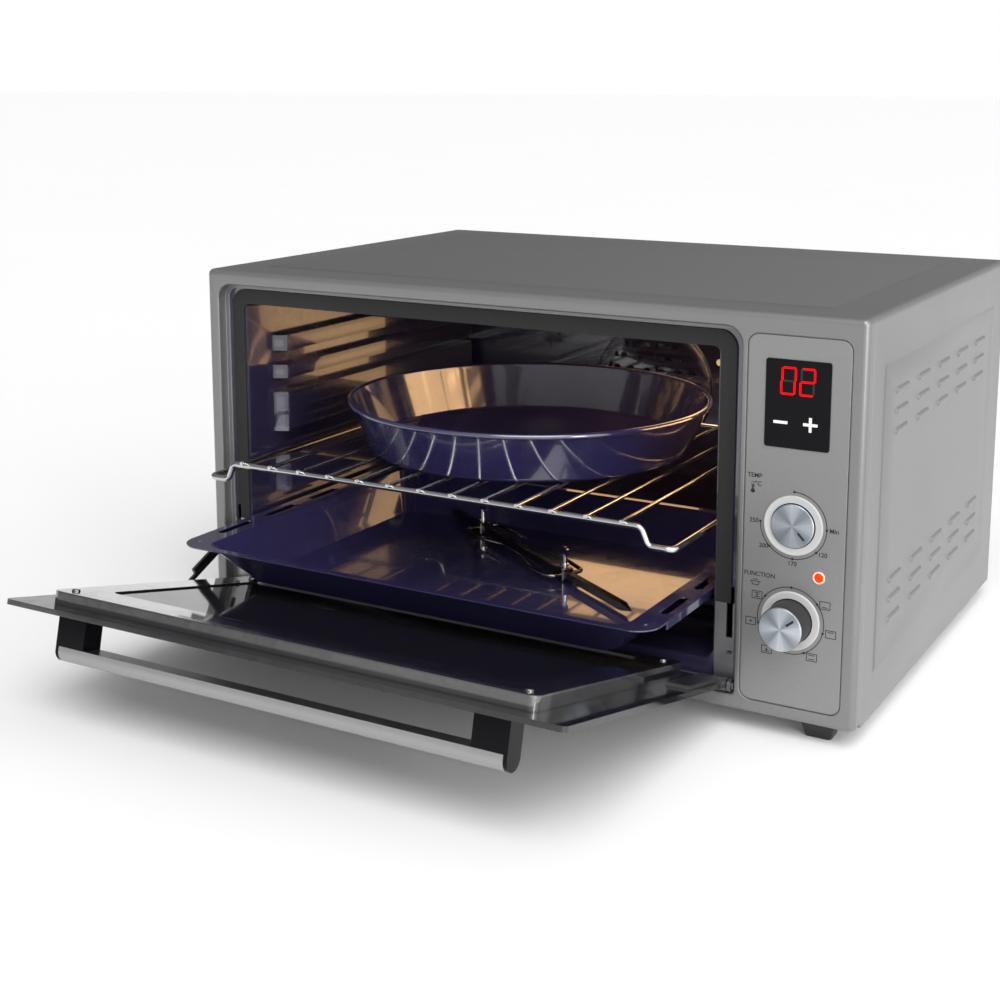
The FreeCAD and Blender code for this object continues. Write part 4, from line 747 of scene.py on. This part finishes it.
def makeHeadings():
    s = thermometerLook
    spot = shifted(inked(temperatureCentre.x, temperatureCentre.z), s["aside"], s["up"])
    parts = [printedWord("TEMP", shifted(spot, *s["heading"]))]
    parts.append(printedDot(shifted(spot, 0, s["bulbUp"]), s["bulb"]))
    parts += printedBars(spot, [s["stemRow"]], s["stem"])
    parts += printedBars(spot, s["tubeRows"], s["tube"])
    parts.append(printedWord("°C", shifted(spot, *s["unit"])))
    s = dishLook
    spot = shifted(inked(functionCentre.x, functionCentre.z), s["aside"], s["up"])
    parts.append(printedWord("FUNCTION", shifted(spot, *s["heading"])))
    parts += printedBars(spot, s["rows"])
    finishPrint(parts, "panelHeadings")


makeTemperatureScale()
makeFunctionScale()
makeHeadings()
print("scales printed")


digitLook = {"wide": 11.2, "tall": 20.4, "stroke": 1.4, "lean": 4.5, "thick": 0.2, "rise": 49.1,
             "proud": 0.05, "point": 0.2, "first": -7.2, "second": 6.95}
keyLook = {"minus": (-12.3, 18.6), "plus": (9.9, 18.6), "long": 10.6, "line": 2.1, "proud": 0.03}


def segment(length, stroke):
    # a flat bar with pointed ends: the end faces are drawn out and narrowed
    deselectAll()
    bpy.ops.mesh.primitive_cube_add(size=1, location=(0, 0, 0))
    piece = bpy.context.object
    piece.scale = (stroke * mm, digitLook["thick"] * mm, (length - stroke * 1.15) * mm)
    settle(piece)
    for way in (1, -1):
        for face in piece.data.polygons:
            face.select = face.normal.z * way > 0.9
        for edge in piece.data.edges:
            edge.select = False
        for vertex in piece.data.vertices:
            vertex.select = vertex.co.z * way > 0
        bpy.ops.object.mode_set(mode="EDIT")
        bpy.ops.mesh.select_mode(type="FACE")
        bpy.ops.mesh.extrude_region_move(
            TRANSFORM_OT_translate={"value": (0, 0, way * stroke * 0.5 * mm)})
        bpy.ops.transform.resize(value=(digitLook["point"], 1, 1))
        bpy.ops.object.mode_set(mode="OBJECT")
    return piece


def makeDigit(middle, lit):
    s = digitLook
    halfWide, halfTall = (s["wide"] - s["stroke"]) / 2, (s["tall"] - s["stroke"]) / 2
    spots = {"top": (0, halfTall, 90), "middle": (0, 0, 90), "bottom": (0, -halfTall, 90),
             "upperLeft": (-halfWide, halfTall / 2, 0), "upperRight": (halfWide, halfTall / 2, 0),
             "lowerLeft": (-halfWide, -halfTall / 2, 0), "lowerRight": (halfWide, -halfTall / 2, 0)}
    made = {True: [], False: []}
    for name, (x, z, turn) in spots.items():
        bar = segment(s["wide"] - s["stroke"] if turn else halfTall, s["stroke"])
        bar.rotation_euler = (0, math.radians(turn), 0)
        lean = math.tan(math.radians(s["lean"])) * z
        bar.location = shifted(middle, x + lean, z)
        settle(bar)
        made[name in lit].append(bar)
    return made


def makeDisplay():
    low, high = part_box("display_window")
    s = digitLook
    middle = Vector(((low.x + high.x) / 2, low.y - s["proud"] * mm, low.z + s["rise"] * mm))
    zero = makeDigit(shifted(middle, s["first"], 0),
                     ("top", "bottom", "upperLeft", "upperRight", "lowerLeft", "lowerRight"))
    two = makeDigit(shifted(middle, s["second"], 0),
                    ("top", "middle", "bottom", "upperRight", "lowerLeft"))
    lit, unlit = zero[True] + two[True], zero[False] + two[False]
    finishPiece(joinPieces(lit), "litSegments", "housing", [litRed])
    finishPiece(joinPieces(unlit), "darkSegments", "housing", [unlitRed])
    s = keyLook
    spot = Vector((middle.x, low.y - s["proud"] * mm, low.z))
    minusAt, plusAt = shifted(spot, *s["minus"]), shifted(spot, *s["plus"])
    keys = [slab((s["long"], printDepth, s["line"]), minusAt),
            slab((s["long"], printDepth, s["line"]), plusAt),
            slab((s["line"], printDepth * 1.02, s["long"]), plusAt)]
    finishPiece(joinPieces(keys), "touchSymbols", "housing", [printWhite])


makeDisplay()
print("display made")


lampLook = {"radius": 3.4, "dome": 1.0, "long": 14.0, "steps": 48,
            "collar": [(3.42, 1.4), (3.42, 0.7), (3.7, 0.35), (4.2, 0.35), (4.6, 0.7), (4.6, 1.4),
                       (3.42, 1.4)]}


def makeIndicator():
    low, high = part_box("indicator_lamp")
    centre = Vector(((low.x + high.x) / 2, low.y, (low.z + high.z) / 2))
    s = lampLook
    turns = [math.radians(degrees) for degrees in range(15, 91, 15)]
    outline = [(0, 0)] + [(s["radius"] * math.sin(t), s["dome"] - math.cos(t)) for t in turns]
    outline += [(s["radius"], s["long"]), (0, s["long"])]
    lens = turned(outline, centre, (0, 1, 0), s["steps"])
    clear = finishes["clear_lens"]
    finishPiece(lens, "indicatorLens", "housing", [clear], ["indicator_lamp"])
    collar = turned(s["collar"], centre, (0, 1, 0), s["steps"])
    # the collar is a bezel, not a lamp: its emission is painted glow from the lens
    paintedCollarGlow = glowing("paintedGlowCollar", (0.9, 0.45, 0.35), (0.95, 0.6, 0.5), 0.25)
    finishPiece(collar, "indicatorCollar", "housing", [paintedCollarGlow])


makeIndicator()
print("indicator made")


panShape = {"foot": 141.0, "rim": 158.6, "bead": 2.4, "wall": 1.2, "corner": 6.0, "flat": 4,
            "ring": 0.55, "ringDish": 0.3, "dish": 0.35, "steps": 160}


def makePan():
    low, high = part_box("round_pan")
    centre = Vector(((low.x + high.x) / 2, (low.y + high.y) / 2, low.z))
    tall = (high.z - low.z) / mm
    s = panShape
    foot, corner, bead, wall = s["foot"], s["corner"], s["bead"], s["wall"]
    lean = math.degrees(math.atan2(s["rim"] - 2 * bead - foot, tall - bead))
    outline = [(0, s["dish"]), (foot * s["ring"], s["ringDish"]), (foot - corner - s["flat"], 0.0)]
    outline += arc(foot - corner + 0.6, corner, corner, 270, 360 - lean, 8)
    outline += arc(s["rim"] - bead, tall - bead, bead, -110, 170, 14)
    outline += [(s["rim"] - 2 * bead - wall * 0.4, tall - bead * 2)]
    outline += arc(foot - corner + 0.2, corner, corner - wall, 360 - lean, 270, 8)
    outline += [(foot * s["ring"], wall + s["ringDish"]), (0, wall + s["dish"])]
    pan = turned(outline, centre, (0, 0, 1), s["steps"])
    enamel = finishes["pan_enamel"]
    finishPiece(pan, "bakingPan", frameBody("round_pan"), [enamel], ["round_pan"], 40)


makePan()
print("pan made")


rodLook = {"count": 13, "pitch": 29.17, "radius": 2.0, "inset": 2.2, "below": 1.6, "steps": 16}


def makeRodEnds():
    low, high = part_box("wire_rack")
    s = rodLook
    spot = Vector(((low.x + high.x) / 2, low.y + s["inset"] * mm, high.z - s["below"] * mm))
    radius = s["radius"]
    outline = [(0, -radius)] + arc(0, 0, radius, -75, 75, 6) + [(0, radius)]
    first = turned(outline, spot, (0, 1, 0), s["steps"])
    ends = [first]
    for number in range(s["count"]):
        shift = (number - (s["count"] - 1) / 2) * s["pitch"] * mm
        for away in (0, high.y - low.y - 2 * s["inset"] * mm):
            if number == (s["count"] - 1) // 2 and away == 0:
                continue  # the first end is there already
            pickOnly(first)
            bpy.ops.object.duplicate(linked=False)
            copy = bpy.context.object
            copy.location = (shift, away, 0)
            settle(copy)
            ends.append(copy)
    finishPiece(joinPieces(ends), "rodEnds", frameBody("wire_rack"), [finishes["chrome"]])


makeRodEnds()
print("rod ends made")


cameraLook = {"aside": 0.6058, "ahead": 1.0506, "above": 0.4821, "turn": 29.95, "rise": 9.86,
              "lens": 56.39, "sensor": 36, "shift": -0.15, "near": 0.01, "far": 100}


def placeCamera():
    s = cameraLook
    turn, rise = math.radians(s["turn"]), math.radians(s["rise"])
    back = Vector(
        (math.sin(turn) * math.cos(rise), -math.cos(turn) * math.cos(rise), math.sin(rise)))
    deselectAll()
    bpy.ops.object.camera_add(location=(s["aside"], panelFace - s["ahead"], s["above"]))
    camera = bpy.context.object
    camera.name = "camera"
    camera.rotation_euler = (-back).to_track_quat("-Z", "Y").to_euler()
    camera.data.sensor_width = s["sensor"]
    camera.data.lens = s["lens"]
    camera.data.shift_y = s["shift"]
    camera.data.clip_start = s["near"]
    camera.data.clip_end = s["far"]
    bpy.context.scene.camera = camera


floorLook = {"size": 80, "gap": 0.0002, "low": (0.94, 0.94, 0.94), "high": (0.97, 0.97, 0.97)}


def placeFloor():
    s = floorLook
    deselectAll()
    bpy.ops.mesh.primitive_plane_add(size=s["size"], location=(0, 0, cadLow.z - s["gap"]))
    floor = bpy.context.object
    floor.name = "studioFloor"
    material, tree, shader = startMaterial("paleFloor", {"Roughness": 0.75})
    grain = useGroup(tree, fineGrain, {"Speckle Size": 60.0, "Cloud Size": 1.5, "Contrast": 0.5})
    mixColours(tree, grain.outputs["Cloud"], s["low"], s["high"], shader.inputs["Base Color"])
    floor.data.materials.append(material)


worldLook = {"strength": 3.0, "beyond": 1.0, "forward": -0.4, "reach": 1.1,
             "steps": {0.118: 0.055, 0.345: 0.1, 0.432: 0.18, 0.527: 0.23, 0.8: 0.3, 0.986: 0.8}}


def placeWorld():
    # brightest to the right and in front, dim to the left and behind,
    # and a plain pale level where the camera looks past the floor
    s = worldLook
    world = bpy.data.worlds.new("studio")
    bpy.context.scene.world = world
    world.use_nodes = True
    tree = world.node_tree
    background = tree.nodes["Background"]
    output = tree.nodes["World Output"]
    coords = addNode(tree, "ShaderNodeTexCoord")
    split = addNode(tree, "ShaderNodeSeparateXYZ")
    join(tree, coords.outputs["Generated"], split.inputs[0])
    slant = addMath(tree, "MULTIPLY_ADD", split.outputs["Y"], s["forward"], split.outputs["X"])
    reach = {"From Min": -s["reach"], "From Max": s["reach"]}
    spread = addNode(tree, "ShaderNodeMapRange", values=reach)
    join(tree, slant, spread.inputs["Value"])
    ramp = addNode(tree, "ShaderNodeValToRGB")
    steps = ramp.color_ramp.elements
    steps[1].position = 1.0
    steps[1].color = (1, 1, 1, 1)
    for number, (place, level) in enumerate(s["steps"].items()):
        step = steps[0] if number == 0 else steps.new(place)
        step.position = place
        step.color = (level, level, level, 1)
    join(tree, spread.outputs["Result"], ramp.inputs["Fac"])
    join(tree, ramp.outputs["Color"], background.inputs["Color"])
    background.inputs["Strength"].default_value = s["strength"]
    plain = (s["beyond"], s["beyond"], s["beyond"], 1)
    beyond = addNode(tree, "ShaderNodeBackground", values={"Color": plain})
    path = addNode(tree, "ShaderNodeLightPath")
    choose = addNode(tree, "ShaderNodeMixShader")
    join(tree, path.outputs["Is Camera Ray"], choose.inputs["Fac"])
    join(tree, background.outputs[0], choose.inputs[1])
    join(tree, beyond.outputs[0], choose.inputs[2])
    join(tree, choose.outputs[0], output.inputs["Surface"])


sunLook = {"spot": (1.2, -2.0, 3.0), "power": 1.75, "spread": 40}
softboxLook = {"spot": (2.3, -1.35, 0.5), "aim": (0, 0, 0.2), "size": (0.4, 1.3), "power": 16}
# across from the pan's middle, up from the low side of the piece named, and front to back
# from the pan's middle too, or from the guard's front for the lamp on the back wall
glowColour = (1.0, 0.6, 0.28)
glowLook = {
    "ovenGlowRight": {"from": "upper_element", "spot": (0.215, 0.01, -0.04),
                      "aim": (0, 0.01, -0.05), "size": (0.13, 0.055), "power": 0.3},
    "ovenGlowRoof": {"from": "upper_element", "spot": (0.1, 0.12, -0.004),
                     "aim": (0.05, 0.1, -0.27375), "size": (0.14, 0.1), "power": 0.2},
    "ovenGlowBack": {"from": "fan_guard", "spot": (-0.02, -0.004, 0.073),
                     "aim": (-0.02, -1, 0.073), "size": (0.15, 0.075), "power": 0.055},
}


def placeSun():
    s = sunLook
    deselectAll()
    bpy.ops.object.light_add(type="SUN", location=s["spot"])
    sun = bpy.context.object
    sun.name = "keySun"
    sun.rotation_euler = (-Vector(s["spot"])).to_track_quat("-Z", "Y").to_euler()
    sun.data.energy = s["power"]
    sun.data.angle = math.radians(s["spread"])


def placeLight(name, origin, look, colour=(1, 1, 1)):
    spot, aim = origin + Vector(look["spot"]), origin + Vector(look["aim"])
    deselectAll()
    bpy.ops.object.light_add(type="AREA", location=spot)
    light = bpy.context.object
    light.name = name
    light.rotation_euler = (aim - spot).to_track_quat("-Z", "Y").to_euler()
    light.data.shape = "RECTANGLE"
    light.data.size, light.data.size_y = look["size"]
    light.data.energy = look["power"]
    light.data.color = colour
    return light


def placeGlow():
    # the lamp on the back wall lights the pan and tray but stays out of sight itself
    panLow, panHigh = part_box("round_pan")
    middle = (panLow + panHigh) / 2
    for name, look in glowLook.items():
        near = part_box(look["from"])[0]
        backWall = look["from"] == "fan_guard"
        origin = Vector((middle.x, near.y if backWall else middle.y, near.z))
        light = placeLight(name, origin, look, glowColour)
        light.visible_camera = not backWall


placeCamera()
placeWorld()
placeFloor()
bpy.context.scene.view_settings.view_transform = "Standard"
placeSun()
placeLight("sideSoftbox", Vector((0, panelFace, 0)), softboxLook)
placeGlow()
print("camera, lights and floor placed")
